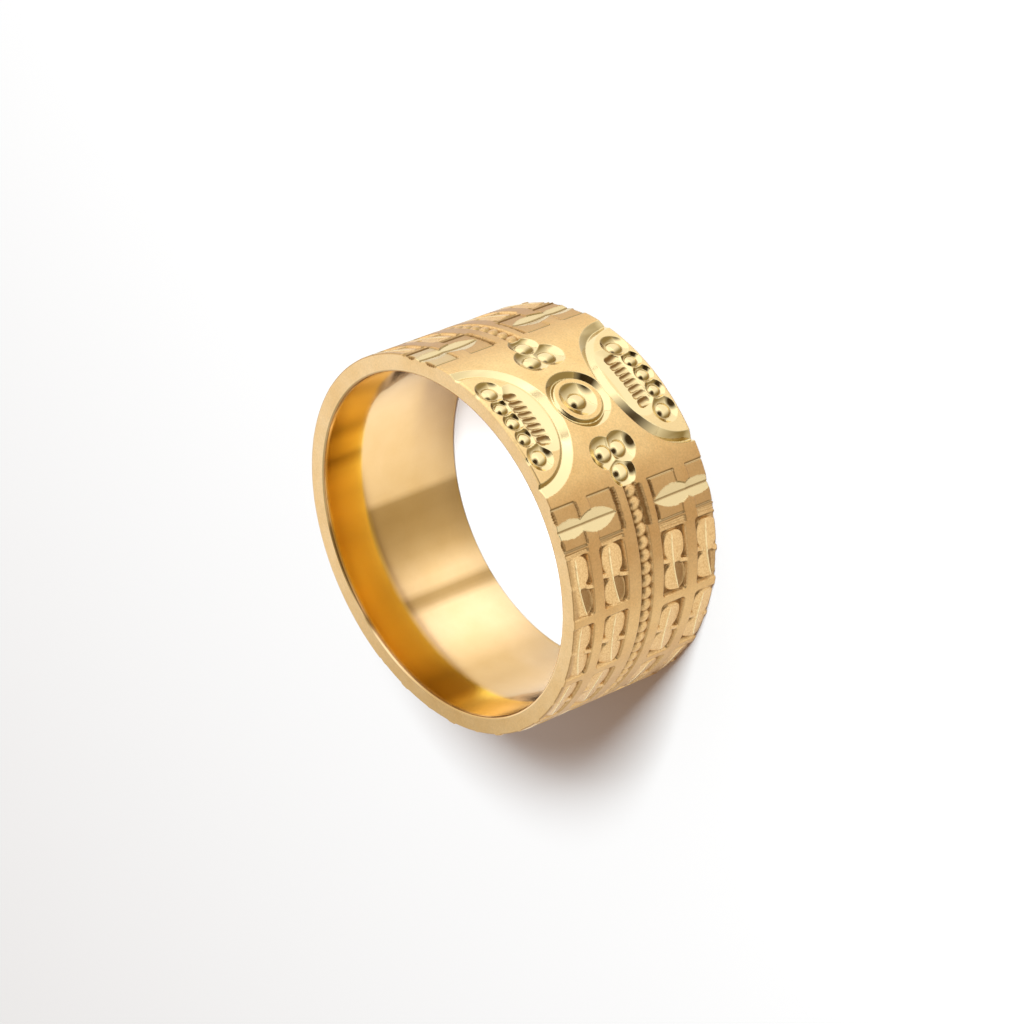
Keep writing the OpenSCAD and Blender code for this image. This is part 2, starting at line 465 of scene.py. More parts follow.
@dataclass(frozen=True)
class HalfDisc:
    """A half disc on one edge of the band, in a bright V groove, with a slot of small cells and five domes.

    The groove's flanks and depth are given at three places along it, which stops lists as shares of reach.
    A domed cell is its place along the edge, its distance from the edge, and the radii of scoop and dome.
    A slot's cell is half its width, half its height, and its depth.
    """

    side: Side
    reach: float = 3.95
    rise: float = 3.3
    squareness: float = 2.1
    stops: tuple[float, float, float] = (-0.9, 0.0, 0.9)
    outer_flank: tuple[float, float, float] = (0.12, 0.08, 0.45)
    inner_flank: tuple[float, float, float] = (0.48, 0.42, 0.36)
    groove_depth: tuple[float, float, float] = (0.33, 0.175, 0.22)
    rim_depth: float = 0.7
    rim_reach: float = 0.5
    field_depth: float = 1e-4
    field_polish: float = 0.55
    slot_in: float = 1.62
    slot_reach: float = 1.6
    slot_floor: float = 0.43
    crescent: float = 0.58
    crescent_from: float = -1.0
    crescent_full: float = 0.6
    crest: float = 0.14
    slot_depth: float = 0.13
    small_cells: int = 6
    small_cell: tuple[float, float, float] = (0.19, 0.42, 0.11)
    cell_pitch: float = 0.36
    end_cell: tuple[float, float, float] = (0.26, 0.38, 0.14)
    end_cell_at: float = 1.34
    cell_lean: float = 0.12
    cell_squareness: float = 3.0
    cell_polish: float = 0.85
    cell_dark: float = 0.08
    cell_flank_dark: float = 0.72
    cell_flank_from: float = -0.04
    cell_flank_full: float = 0.1
    cell_depth: float = 0.29
    dome_rise: float = 0.18
    cells: tuple[tuple[float, float, float, float], ...] = (
        (-2.05, 0.83, 0.72, 0.42),
        (-0.95, 0.66, 0.53, 0.34),
        (0.0, 0.66, 0.53, 0.35),
        (0.93, 0.66, 0.53, 0.34),
        (2.0, 0.83, 0.72, 0.42),
    )

    def carve(self, relief: Relief) -> None:
        """Cuts the half disc.

        Args:
            relief: the surface that is cut.
        """
        inward = relief.z if self.side is Side.LOWER else relief.blank.width_front - relief.z
        self._groove(relief, inward)
        self._slot(relief, inward)
        edge = relief.blank.width_front if self.side is Side.UPPER else 0.0
        cells = tuple(
            Cell(at, edge - self.side.value * up, scoop_r, dome_r) for at, up, scoop_r, dome_r in self.cells
        )
        DomedCells(cells, self.cell_depth, self.dome_rise).carve(relief)

    def _groove(self, relief: Relief, inward: np.ndarray) -> None:
        """Cuts the V groove along the outline, and burnishes the field inside it."""
        p = self.squareness
        place = relief.along / self.reach
        across = np.abs(relief.along) / self.reach
        up = np.clip(inward, TINY, None) / self.rise
        size = (across**p + up**p) ** (1.0 / p)
        slope = size ** (1.0 - p) * np.hypot(across ** (p - 1.0) / self.reach, up ** (p - 1.0) / self.rise)
        inside = (1.0 - size) / np.clip(slope, TINY, None)
        outer = np.interp(place, self.stops, self.outer_flank)
        inner = np.interp(place, self.stops, self.inner_flank)
        down = ramp(inside, 0.0, outer)
        back = ramp(inside, outer, outer + inner)
        depth = np.interp(place, self.stops, self.groove_depth)
        depth = depth * (self.rim_depth + (1.0 - self.rim_depth) * soft_ramp(inward, 0.0, self.rim_reach))
        relief.cut(-depth * (down - back), polish=1.0)
        relief.cut(np.where(inside > outer + inner, -self.field_depth, 0.0), polish=self.field_polish)

    def _slot(self, relief: Relief, inward: np.ndarray) -> None:
        """Cuts the long scoop, wide towards the middle of the band, and the row of small cells in it."""
        beyond = np.clip(np.abs(relief.along) - (self.slot_reach - self.slot_floor), 0.0, None)
        up = inward - self.slot_in
        distance = np.hypot(beyond, up)
        lean = np.where(distance > 0.0, up / np.clip(distance, TINY, None), 0.0)
        wide = ramp(lean, self.crescent_from, self.crescent_full)
        flank = self.crest + (self.crescent - self.crest) * wide
        floor = -self.slot_depth * np.clip((self.slot_floor + flank - distance) / flank, 0.0, 1.0)
        relief.cut(floor, polish=1.0)
        for at, half_w, half_h, depth in self._slot_cells():
            off = relief.along - at + self.cell_lean * up
            p = self.cell_squareness
            r = (np.abs(off / half_w) ** p + np.abs(up / half_h) ** p) ** (1.0 / p)
            hollow = -self.slot_depth - depth * np.clip(1.0 - r * r, 0.0, None)
            # Painted shade: faint over each cell and dark on one of its flanks.
            flank_dark = self.cell_flank_dark * ramp(off, self.cell_flank_from, self.cell_flank_full)
            relief.cut(
                np.where(r < 1.0, hollow, 0.0), polish=self.cell_polish, recess=self.cell_dark + flank_dark,
            )

    def _slot_cells(self) -> list[tuple[float, float, float, float]]:
        """Gives the slot's cells: place along the band, half width, half height and depth."""
        middle = (self.small_cells - 1) / 2.0
        small = [((k - middle) * self.cell_pitch, *self.small_cell) for k in range(self.small_cells)]
        return small + [(sign * self.end_cell_at, *self.end_cell) for sign in (-1.0, 1.0)]


@dataclass(frozen=True)
class Trefoil:
    """Three domed cells beside the target: two beside each other and one behind them."""

    turn: Turn
    inner: float = 17.7
    outer: float = 24.3
    spread: float = 0.53
    scoop_r: float = 0.84
    outer_scoop_r: float = 0.76
    dome_r: float = 0.46
    dome_shift: float = 0.07
    depth: float = 0.32
    dome_rise: float = 0.21

    def carve(self, relief: Relief) -> None:
        """Cuts the trefoil.

        Args:
            relief: the surface that is cut.
        """
        cells = []
        places = (
            (self.inner, 1.0, self.scoop_r),
            (self.inner, -1.0, self.scoop_r),
            (self.outer, 0.0, self.outer_scoop_r),
        )
        for bearing, spreads, scoop_r in places:
            middle = float(relief.blank.top(bearing, relief.blank.outer_r)) / 2.0
            along = self.turn.value * math.radians(bearing) * relief.blank.outer_r
            place = middle + spreads * self.spread
            cells.append(Cell(along, place, scoop_r, self.dome_r, -spreads * self.dome_shift))
        DomedCells(tuple(cells), self.depth, self.dome_rise).carve(relief)


@dataclass(frozen=True)
class BeadedLine:
    """The row of leaning beads in its channel, from one trefoil round the back to the other."""

    start: float = 28.2
    beads: int = 78
    middle: float = -0.06
    channel_half: float = 0.41
    wall: float = 0.06
    depth: float = 0.2
    bead_half: float = 0.375
    bead_rise: float = 0.2
    bead_off: float = -0.07
    bead_oval: float = 0.92
    lean: float = 0.18
    cast: float = 0.9
    bead_dark: float = 0.05
    foot_dark: float = 0.95
    foot_reach: float = 0.1
    foot_edge: tuple[float, float] = (0.5, 1.5)

    def carve(self, relief: Relief) -> None:
        """Cuts the channel round the beads.

        Args:
            relief: the surface that is cut.
        """
        pitch = (360.0 - 2.0 * self.start) / self.beads
        mm_per_degree = relief.blank.mm_per_degree
        v = relief.station - self.middle
        place = (relief.bearing % 360.0 - self.start) / pitch - 0.5
        place = place + self.lean * v / (pitch * mm_per_degree)
        nearest = np.clip(np.round(place), 0, self.beads - 1)
        off = (place - nearest) * pitch * mm_per_degree
        distance = np.hypot(off, (v - self.bead_off) * self.bead_oval)
        ball = dome(distance, self.bead_half, self.bead_rise) - self.depth
        ends = np.minimum(relief.bearing % 360.0, 360.0 - relief.bearing % 360.0) - self.start
        inside = np.minimum(self.channel_half - np.abs(v), ends * mm_per_degree)
        floor = -self.depth * ramp(inside, 0.0, self.wall)
        shape = np.where(inside > 0.0, np.maximum(floor, ball), 0.0)
        # Painted shade where the channel floor meets the beads and between them, kept off the channel's
        # walls, and faint on the beads.
        foot = self.foot_dark * ramp(floor - ball, -self.foot_reach, 0.0)
        near_wall, past_wall = self.foot_edge
        foot = foot * ramp(inside, near_wall * self.wall, past_wall * self.wall)
        relief.cut(shape, cast=self.cast, recess=self.bead_dark + foot)


@dataclass(frozen=True)
class Column:
    """A row of pockets: its edges, the number of pockets, and the middle and half width of the leaves."""

    side: Side
    near: float
    far: float
    pockets: int
    leaf: float
    leaf_half: float

    @property
    def seed(self) -> int:
        """Seed of the column's random draws: its near edge in thousandths of a millimetre, and its side."""
        return round(self.near / MM) + self.side.value


COLUMNS = (
    Column(Side.UPPER, 3.48, 5.6, 13, 4.28, 0.78),
    Column(Side.UPPER, 1.17, 2.82, 13, 2.0, 0.78),
    Column(Side.LOWER, 1.17, 2.82, 12, 2.0, 0.78),
    Column(Side.LOWER, 3.48, 5.6, 12, 4.28, 0.78),
)


@dataclass(frozen=True)
class Marquise:
    """One pointed bright cut of a block: its ends, its widest place, and its half widths."""

    near: float
    far: float
    widest: float
    half: float
    far_half: float
    near_half: float = 0.0
    swell: float = 0.8
    fade: float = 2.2

    def half_width(self, v: np.ndarray) -> np.ndarray:
        """Gives half the width of the cut at a station.

        Args:
            v: distances from the middle of the band.

        Returns:
            The half widths, 0 outside the cut.
        """
        inner = ramp(v, self.near, self.widest)
        outer = ramp(v, self.widest, self.far)
        widening = self.near_half + (self.half - self.near_half) * np.sin(inner * math.pi / 2.0) ** self.swell
        narrowing = self.half - (self.half - self.far_half) * outer**self.fade
        shape = np.where(v < self.widest, widening, narrowing)
        return np.where((v > self.near) & (v < self.far), shape, 0.0)


@dataclass(frozen=True)
class Block:
    """A plain block at the end of two columns, with fine end lines, dark slots and marquise cuts.

    Plates and slots are a near and a far distance from the middle of the band. The marquises are duller and
    darker with painted shade, by one share on the side towards the front and one on the side away from it.
    """

    turn: Turn
    side: Side
    start: float
    end: float
    first_pocket: float
    plates: tuple[tuple[float, float], ...] = ((1.1, 2.6), (3.42, 5.6))
    plate_drop: float = 0.045
    plate_edge: float = 0.06
    plate_cast: float = 0.2
    plate_dark: float = 0.17
    bright_plate: float = 0.0
    bright_plate_dark: float = 0.15
    line_w: float = 0.08
    line_depth: float = 0.11
    line_polish: float = 0.6
    line_dark: float = 0.1
    line_outer_dark: float = 0.65
    line_outer: tuple[float, float] = (-0.01, 0.02)
    strip_from: float = 0.6
    strip_drop: float = 0.08
    strip_edge: float = 0.05
    strip_dark: float = 0.2
    strip_streaks: Ripple = Ripple(0.025, 9.0, 1.5, 2.0)
    slots: tuple[tuple[float, float], ...] = ((0.85, 1.14), (3.3, 3.44), (4.72, 4.92))
    slot_depth: float = 0.14
    slot_edge: float = 0.08
    slot_dark: float = 0.85
    slot_ragged: Ripple = Ripple(0.02, 24.0, 2.0, 5.0)
    marquises: tuple[Marquise, ...] = (
        Marquise(1.16, 3.4, 2.35, 0.56, 0.28),
        Marquise(3.38, 5.3, 4.0, 0.48, 0.14, 0.28),
    )
    marquise_off: float = 0.08
    marquise_depth: float = 0.1
    marquise_wall: float = 0.05
    marquise_wall_w: float = 0.03
    marquise_dull_and_shade: tuple[float, float] = (0.3, 0.2)
    middle_line: float = 0.06
    middle_line_edge: float = 0.4
    middle_line_start: float = 0.1
    middle_line_depth: float = 0.03
    middle_line_matt: float = 0.3
    middle_line_dark: float = 0.5

    def carve(self, relief: Relief) -> None:
        """Cuts the block.

        Args:
            relief: the surface that is cut.
        """
        mm_per_degree = relief.blank.mm_per_degree
        away = self.turn.value * relief.bearing
        v = self.side.value * relief.station
        middle = (self.start + self.end) / 2.0
        half = (self.end - self.start) / 2.0
        length = (half - np.abs(away - middle)) * mm_per_degree
        for number, (near, far) in enumerate(self.plates):
            inside = np.minimum(v - near, far - v)
            self._plate(relief, np.minimum(inside, length), self.bright_plate if number else 0.0)
            self._lines(relief, away, inside, length)
            self._strip(relief, away, v, inside)
        off = (away - middle) * mm_per_degree - self.marquise_off
        self._slots(relief, away, v, off, length)
        for marquise in self.marquises:
            self._marquise(relief, off, v, marquise)

    def _plate(self, relief: Relief, inside: np.ndarray, bright: float) -> None:
        """Sinks one plate a little, darkens it with painted shade, and brightens it by a share."""
        relief.cut(
            -self.plate_drop * ramp(inside, 0.0, self.plate_edge), polish=bright, cast=self.plate_cast,
            recess=self.plate_dark + self.bright_plate_dark * bright,
        )

    def _lines(self, relief: Relief, away: np.ndarray, inside: np.ndarray, length: np.ndarray) -> None:
        """Cuts the fine line at each end of a plate, with painted shade that is darkest on its outer flank.
        """
        for edge in (self.start, self.end):
            off = np.abs(away - edge) * relief.blank.mm_per_degree
            line = -self.line_depth * np.clip(1.0 - off / self.line_w, 0.0, 1.0)
            dark = self.line_dark + self.line_outer_dark * ramp(-length, *self.line_outer)
            relief.cut(np.where(inside > 0.0, line, 0.0), polish=self.line_polish, recess=dark)

    def _strip(self, relief: Relief, away: np.ndarray, v: np.ndarray, inside: np.ndarray) -> None:
        """Sinks the rough strip between a plate and the first pocket, and darkens it with painted shade."""
        mm_per_degree = relief.blank.mm_per_degree
        ends = np.minimum(away - self.end - self.strip_from, self.first_pocket - away) * mm_per_degree
        drop = -self.strip_drop + self.strip_streaks.over(away, v)
        floor = drop * ramp(np.minimum(inside, ends), 0.0, self.strip_edge)
        relief.cut(floor, cast=1.0, recess=self.strip_dark)

    def _slots(
        self, relief: Relief, away: np.ndarray, v: np.ndarray, off: np.ndarray, length: np.ndarray,
    ) -> None:
        """Cuts the ragged slots, darkened with painted shade, which stop at the marquises."""
        ragged = self.slot_ragged.over(away, away)
        cut_half = np.maximum.reduce([m.half_width(v) for m in self.marquises])
        beside = np.where(cut_half > 0.0, np.abs(off) - cut_half, np.inf)
        for near, far in self.slots:
            slot = np.minimum(np.minimum(v - near - ragged, far - v + ragged), np.minimum(length, beside))
            dark = ramp(slot, 0.0, self.slot_edge)
            relief.cut((-self.slot_depth + ragged) * dark, cast=1.0, recess=self.slot_dark * dark)

    def _marquise(self, relief: Relief, off: np.ndarray, v: np.ndarray, marquise: Marquise) -> None:
        """Cuts one marquise, as a V with a soft line along its middle, and lays painted shade over it."""
        half = marquise.half_width(v)
        across = np.abs(off)
        edge = np.clip(half - across, 0.0, None)
        depth = self.marquise_depth * np.minimum(edge / marquise.half, 1.0)
        depth = depth + self.marquise_wall * ramp(edge, 0.0, self.marquise_wall_w)
        line = ramp(across, self.middle_line, self.middle_line * self.middle_line_edge)
        line = line * ramp(half, 0.0, self.middle_line_start)
        shape = np.where(half > across, -depth - self.middle_line_depth * line, 0.0)
        # Painted shade over the whole marquise, stronger on one side and along its middle line; the same
        # share makes it rougher.
        dull = np.where(off > 0.0, self.marquise_dull_and_shade[1], self.marquise_dull_and_shade[0])
        dark = np.maximum(self.middle_line_dark * line, dull)
        relief.cut(shape, polish=1.0 - self.middle_line_matt * line, recess=dark)


@dataclass(frozen=True)
class Leaf:
    """A lengthwise leaf of two lobes: its outline, its waist and spurs, its ridged crown and its rib."""

    half: float
    lobe_at: float = 0.8
    lobe_reach: float = 0.84
    fullness: float = 2.6
    flank: float = 0.12
    waist_half: float = 0.5
    waist_share: float = 0.62
    crown_drop: float = 0.02
    fall_above: float = 0.2
    fall_below: float = 0.1
    rib_rise: float = 0.022
    rib_half: float = 0.075
    rib_at: float = 0.17
    rib_bend: float = 0.1
    rib_bend_at: float = 0.55
    rib_spread: float = 0.04
    rib_full: float = 1.1
    rib_end: float = 1.6
    rib_inside: float = 0.9
    hollow_depth: float = 0.1
    hollow_below: tuple[float, float] = (0.03, 0.12)
    hollow_along: float = 0.1
    hollow_edge: tuple[float, float] = (0.92, 0.72)
    spur_drop: float = 0.03
    spur_lean: float = 0.2
    spur_half: tuple[float, float] = (0.1, 0.2)
    spur_from: float = 0.3

    def shape(
        self, p: np.ndarray, w: np.ndarray, hollow: float, depth: np.ndarray, bend: float,
    ) -> tuple[np.ndarray, np.ndarray, np.ndarray]:
        """Gives the height of the leaf.

        Args:
            p: distance along the band from the leaf's middle.
            w: distance up the band from it.
            hollow: the lobe that is half cut away below the rib, as a sign, or 0 for neither.
            depth: depth of the pocket.
            bend: how far this leaf's rib differs from the usual one, from -1 to 1.

        Returns:
            The heights, the share of rib, and the share of the half that is cut away.
        """
        n = self.fullness
        lobe_p = np.abs(np.abs(p) - self.lobe_at) / self.lobe_reach
        lobe = (lobe_p**n + (np.abs(w) / self.half) ** n) ** (1.0 / n)
        waist = np.hypot(p / self.waist_half, w / (self.waist_share * self.half))
        size = np.minimum(lobe, waist)
        body = -depth * ramp(size, 1.0 - self.flank / self.half, 1.0)
        rib_w = self.rib_at + self.rib_spread * bend - self.rib_bend * (p - self.rib_bend_at) ** 2
        above = np.clip(w - rib_w, 0.0, None)
        below = np.clip(rib_w - w, 0.0, None)
        crown = -self.crown_drop - self.fall_above * above - self.fall_below * below
        rib = np.clip(1.0 - np.abs(w - rib_w) / self.rib_half, 0.0, None)
        rib = rib * ramp(np.abs(p), self.rib_end, self.rib_full)
        sunk = np.zeros_like(p)
        if hollow:
            sunk = ramp(below, *self.hollow_below) * ramp(p * hollow, 0.0, self.hollow_along)
            sunk = sunk * soft_ramp(lobe, *self.hollow_edge)
        top = crown + self.rib_rise * rib - self.hollow_depth * sunk
        spur = -self.spur_drop - depth * ramp(np.abs(p - self.spur_lean * w), *self.spur_half)
        spur = np.where(np.abs(w) > self.spur_from, spur, -1.0)
        height = np.maximum(np.minimum(top, body + top), spur)
        return height, rib * ramp(size, 1.0, self.rib_inside), sunk


@dataclass(frozen=True)
class Pockets:
    """One column of pockets, each cut round its leaf.

    The pockets run out towards the rim of the band: fade is the share of depth that they lose there. It is
    largest on the worn edge, and the finishes of floor, rib and hollow are shares of recess and polish, the
    floor and the hollow darkened with painted shade.
    """

    column: Column
    start: float
    end: float
    bar: float = 0.4
    corner: float = 0.22
    wall: float = 0.08
    depth: float = 0.2
    edge_fade: float = 0.7
    worn_fade: float = 0.96
    open_fade: float = 0.35
    worn_until: float = 180.0
    fade_from: float = 0.7
    fade_full: float = 0.1
    shift_along: float = 0.04
    shift_up: float = 0.03
    margin: float = 0.5
    floor_dark: float = 0.85
    floor_foot: tuple[float, float] = (-0.05, 0.03)
    floor_edge: tuple[float, float] = (0.4, 1.3)
    rim_light: float = 0.5
    rim_light_from: float = 0.6
    rim_light_full: float = 0.25
    rib_polish: float = 0.85
    rib_polish_from: float = 0.1
    rib_polish_full: float = 0.6
    hollow_dark: float = 0.7

    def carve(self, relief: Relief) -> None:
        """Cuts the column's pockets.

        Args:
            relief: the surface that is cut.
        """
        mm_per_degree = relief.blank.mm_per_degree
        gap = self.bar / mm_per_degree
        pitch = (self.end - self.start + gap) / self.column.pockets
        draw = np.random.default_rng(self.column.seed)
        for number in range(self.column.pockets):
            low = self.start + number * pitch
            shift = draw.uniform(-1.0, 1.0, 4)
            hollow = {0: 1.0, self.column.pockets - 1: -1.0}.get(number, 0.0)
            for whole in (-360.0, 0.0):
                first = low + whole
                last = low + whole + pitch - gap
                part = relief.window(first - self.margin, last + self.margin)
                if part is not None:
                    self._pocket(part, first, last, hollow, shift)

    def _pocket(self, relief: Relief, low: float, high: float, hollow: float, shift: np.ndarray) -> None:
        """Cuts one pocket and leaves its leaf."""
        mm_per_degree = relief.blank.mm_per_degree
        column = self.column
        v = column.side.value * relief.station
        p = (relief.bearing - (low + high) / 2.0) * mm_per_degree
        half = (high - low) / 2.0 * mm_per_degree
        q = v - (column.near + column.far) / 2.0
        half_w = (column.far - column.near) / 2.0
        beyond = np.hypot(
            np.clip(np.abs(p) - half + self.corner, 0.0, None),
            np.clip(np.abs(q) - half_w + self.corner, 0.0, None),
        )
        straight = np.minimum(half - np.abs(p), half_w - np.abs(q))
        inside = np.where(beyond > 0.0, self.corner - beyond, straight)
        edge = relief.blank.width_front / 2.0
        worn = (relief.bearing % 360.0 < self.worn_until) & (column.side is Side.UPPER)
        usual = self.edge_fade if column.side is Side.UPPER else self.open_fade
        fade = np.where(worn, self.worn_fade, usual)
        depth = self.depth * (1.0 - fade * soft_ramp(v, edge - self.fade_from, edge - self.fade_full))
        floor = -depth * ramp(inside, 0.0, self.wall)
        w = relief.station - column.side.value * column.leaf + self.shift_up * shift[0]
        p = p + self.shift_along * shift[1]
        leaf, rib, sunk = Leaf(column.leaf_half).shape(p, w, hollow, depth, shift[2])
        shape = np.where(inside > 0.0, np.maximum(floor, leaf), 0.0)
        # Painted shade on the pocket's floor round the leaf, faded at the walls and lighter towards the rim,
        # and in the leaf's cut-away hollow.
        near_wall, past_wall = self.floor_edge
        low_part = ramp(floor - leaf, *self.floor_foot)
        low_part *= ramp(inside, near_wall * self.wall, past_wall * self.wall)
        open_part = soft_ramp(v, edge - self.rim_light_from, edge - self.rim_light_full)
        low_part *= 1.0 - self.rim_light * open_part
        bright = self.rib_polish * ramp(rib, self.rib_polish_from, self.rib_polish_full)
        on_leaf = leaf > floor
        dark = np.maximum(self.floor_dark * low_part, np.where(on_leaf, self.hollow_dark * sunk, 0.0))
        relief.cut(shape, cast=1.0, polish=np.where(on_leaf, bright, 0.0), recess=dark)


@dataclass(frozen=True)
class Grid:
    """Where the points of the band's closed outline lie, as the outline is followed once round.

    The rows of an end face lie evenly, but for two at each end, whose places are shares of its width.
    """

    outer_rows: int = 262
    round_rows: int = 4
    face_rows: int = 9
    face_ends: tuple[float, float] = (0.02, 0.08)
    bore_rows: int = 40

    def shares(self) -> np.ndarray:
        """Gives the rows of the outer side, as shares of the width between its rounded rims."""
        return np.linspace(0.0, 1.0, self.outer_rows)

    def face_shares(self) -> np.ndarray:
        """Gives the rows of an end face, as shares of its width from the outer rim."""
        first, second = self.face_ends
        inner = np.linspace(second, 1.0 - second, self.face_rows - 2)
        return np.concatenate([[first], inner, [1.0 - first]])[None, :]

    def bore_slice(self) -> slice:
        """Gives the rows of the bore between its rounded mouths."""
        first = self.outer_rows + 2 * self.round_rows + self.face_rows + 1
        return slice(first, first + self.bore_rows)


class Zone(Enum):
    """The parts of the outline, which have finishes of their own."""

    OUTSIDE = 0
    FACE = 1
    BORE = 2


@dataclass(frozen=True)
class Wave:
    """A slow unevenness of the bore: waves in a round, turn in radians per millimetre, phase and size."""

    count: float
    per_mm: float
    phase: float
    size: float


@dataclass(frozen=True)
class Section:
    """A closed section of the band between two bearings, as a number of columns of points.

    The unevenness of its bore is the rise of a wave of size 1.
    """

    name: str
    start: float
    end: float
    columns: int
    grid: Grid = field(default_factory=Grid)
    bore_unevenness: float = 0.004
    bore_waves: tuple[Wave, ...] = (
        Wave(3.0, 0.0, 0.5, 1.0), Wave(7.0, 0.35, 0.0, 0.7), Wave(11.0, -0.5, 0.0, 0.5),
    )

    def bearings(self) -> np.ndarray:
        """Gives the bearings of the columns, with one more on each side for the normals."""
        step = (self.end - self.start) / self.columns
        return self.start + step * np.arange(-1, self.columns + 2)

    def outline(self, blank: Blank, ornaments: list[Ornament]) -> tuple[np.ndarray, Relief, np.ndarray]:
        """Works out the points of every column's outline.

        Args:
            blank: the plain band.
            ornaments: what is cut into it, in order.

        Returns:
            The points as columns by rows by 3, the relief of the outer rows, and each row's zone.
        """
        grid = self.grid
        b = self.bearings()
        rim = blank.rounding(b)[:, None]
        width = blank.top(b, blank.outer_r)[:, None]
        relief = Relief(blank, b, grid.shares())
        share = (rim + grid.shares()[None, :] * (width - 2.0 * rim)) / width
        relief.z = share * width
        relief.station = (share - 0.5) * blank.width_front
        for ornament in ornaments:
            ornament.carve(relief)
        SideShade().lay(relief)
        radius = blank.outer_r + relief.height
        outside = (radius, relief.z * blank.top(b[:, None], radius) / width)
        parts = [(outside, Zone.OUTSIDE)]
        parts += self._end(blank, b[:, None], radius[:, -1:], rim, Side.UPPER)
        parts.append((self._bore(blank, b[:, None]), Zone.BORE))
        parts += self._end(blank, b[:, None], radius[:, :1], rim, Side.LOWER)
        r = np.concatenate([rows[0] for rows, _ in parts], axis=1)
        z = np.concatenate([rows[1] for rows, _ in parts], axis=1)
        zones = np.concatenate([np.full(rows[0].shape[1], zone.value) for rows, zone in parts])
        turn = np.radians(b)[:, None]
        points = np.stack([r * np.sin(turn), -r * np.cos(turn), z], axis=-1)
        return points, relief, zones

    def _end(
        self, blank: Blank, b: np.ndarray, edge_r: np.ndarray, rim: np.ndarray, side: Side,
    ) -> list[tuple[Rows, Zone]]:
        """Gives the rounded rim, the end face and the rounded mouth of the bore, in the outline's order."""
        turn = np.linspace(0.0, math.pi / 2.0, self.grid.round_rows + 2)[None, 1:]
        corner_r = edge_r - rim * (1.0 - np.cos(turn))
        corner_in = rim * (1.0 - np.sin(turn))
        mouth = blank.bore_r + blank.bore_round
        share = self.grid.face_shares()
        face_r = (edge_r - rim) * (1.0 - share) + mouth * share
        mouth_turn = np.linspace(0.0, math.pi / 2.0, self.grid.round_rows)[None, :]
        mouth_r = mouth - blank.bore_round * np.sin(mouth_turn) + 0.0 * b
        mouth_in = blank.bore_round * (1.0 - np.cos(mouth_turn)) + 0.0 * b
        found = [
            (corner_r, corner_in, Zone.OUTSIDE), (face_r, np.zeros_like(face_r), Zone.FACE),
            (mouth_r, mouth_in, Zone.BORE),
        ]
        if side is Side.UPPER:
            return [((r, blank.top(b, r) - inward), zone) for r, inward, zone in found]
        return [((r[:, ::-1], inward[:, ::-1]), zone) for r, inward, zone in reversed(found)]

    def _bore(self, blank: Blank, b: np.ndarray) -> Rows:
        """Gives the rows down the bore, whose polish has left it very slightly uneven."""
        share = np.linspace(0.0, 1.0, self.grid.bore_rows + 2)[None, 1:-1]
        low = blank.bore_round
        high = blank.top(b, blank.bore_r) - blank.bore_round
        z = high + (low - high) * share
        turn = np.radians(b)
        uneven = sum(w.size * np.sin(w.count * turn + w.per_mm * z + w.phase) for w in self.bore_waves)
        return blank.bore_r + self.bore_unevenness * uneven, z

    def build(
        self, blank: Blank, ornaments: list[Ornament], finishes: dict[Zone, bpy.types.Material],
    ) -> bpy.types.Object:
        """Makes the section's mesh, with its fields, normals and finishes.

        Args:
            blank: the plain band.
            ornaments: what is cut into it.
            finishes: a material for each zone.

        Returns:
            The new object.
        """
        points, relief, zones = self.outline(blank, ornaments)
        normals = self._normals(points)
        points = points[1:-1]
        share = self._lean_bore(blank, points, normals)
        n_col, n_row = points.shape[:2]
        loops, starts = self._faces(n_col, n_row)
        mesh = bpy.data.meshes.new(self.name)
        mesh.vertices.add(n_col * n_row)
        mesh.vertices.foreach_set("co", (points * MM).astype(np.float32).ravel())
        mesh.loops.add(len(loops))
        mesh.loops.foreach_set("vertex_index", loops)
        mesh.polygons.add(len(starts))
        mesh.polygons.foreach_set("loop_start", starts)
        for zone in Zone:
            mesh.materials.append(finishes[zone])
        mesh.polygons.foreach_set("material_index", self._face_zones(zones, n_col - 1))
        mesh.update(calc_edges=True)
        self._write_fields(mesh, relief, share, n_row)
        mesh.polygons.foreach_set("use_smooth", np.ones(len(starts), dtype=bool))
        mesh.normals_split_custom_set(self._corner_normals(normals, loops))
        made = bpy.data.objects.new(self.name, mesh)
        bpy.context.scene.collection.objects.link(made)
        return made

    def _normals(self, points: np.ndarray) -> np.ndarray:
        """Gives the normals of all points but those of the two columns that were added for them."""
        around = np.roll(points, -1, axis=1) - np.roll(points, 1, axis=1)
        onward = points[2:] - points[:-2]
        normals = np.cross(onward, around[1:-1])
        return normals / np.linalg.norm(normals, axis=-1, keepdims=True)

    def _faces(self, n_col: int, n_row: int) -> tuple[np.ndarray, np.ndarray]:
        """Gives the corners of the quads and of the two end caps, and where each face starts in them."""
        i, j = np.meshgrid(np.arange(n_col - 1), np.arange(n_row), indexing="ij")
        k = (j + 1) % n_row
        quads = np.stack([i * n_row + j, (i + 1) * n_row + j, (i + 1) * n_row + k, i * n_row + k], axis=-1)
        first_cap = np.arange(n_row)
        last_cap = (n_col - 1) * n_row + np.arange(n_row)[::-1]
        loops = np.concatenate([quads.ravel(), first_cap, last_cap]).astype(np.int32)
        corners = quads.size
        starts = np.concatenate([np.arange(0, corners, 4), [corners, corners + n_row]]).astype(np.int32)
        return loops, starts

    def _face_zones(self, zones: np.ndarray, strips: int) -> np.ndarray:
        """Gives each face its zone: the end face's where it touches that, and else its later corner's."""
        onward = np.roll(zones, -1)
        on_face = (zones == Zone.FACE.value) | (onward == Zone.FACE.value)
        rows = np.where(on_face, Zone.FACE.value, np.maximum(zones, onward))
        return np.concatenate([np.tile(rows, strips), [Zone.OUTSIDE.value] * 2]).astype(np.int32)

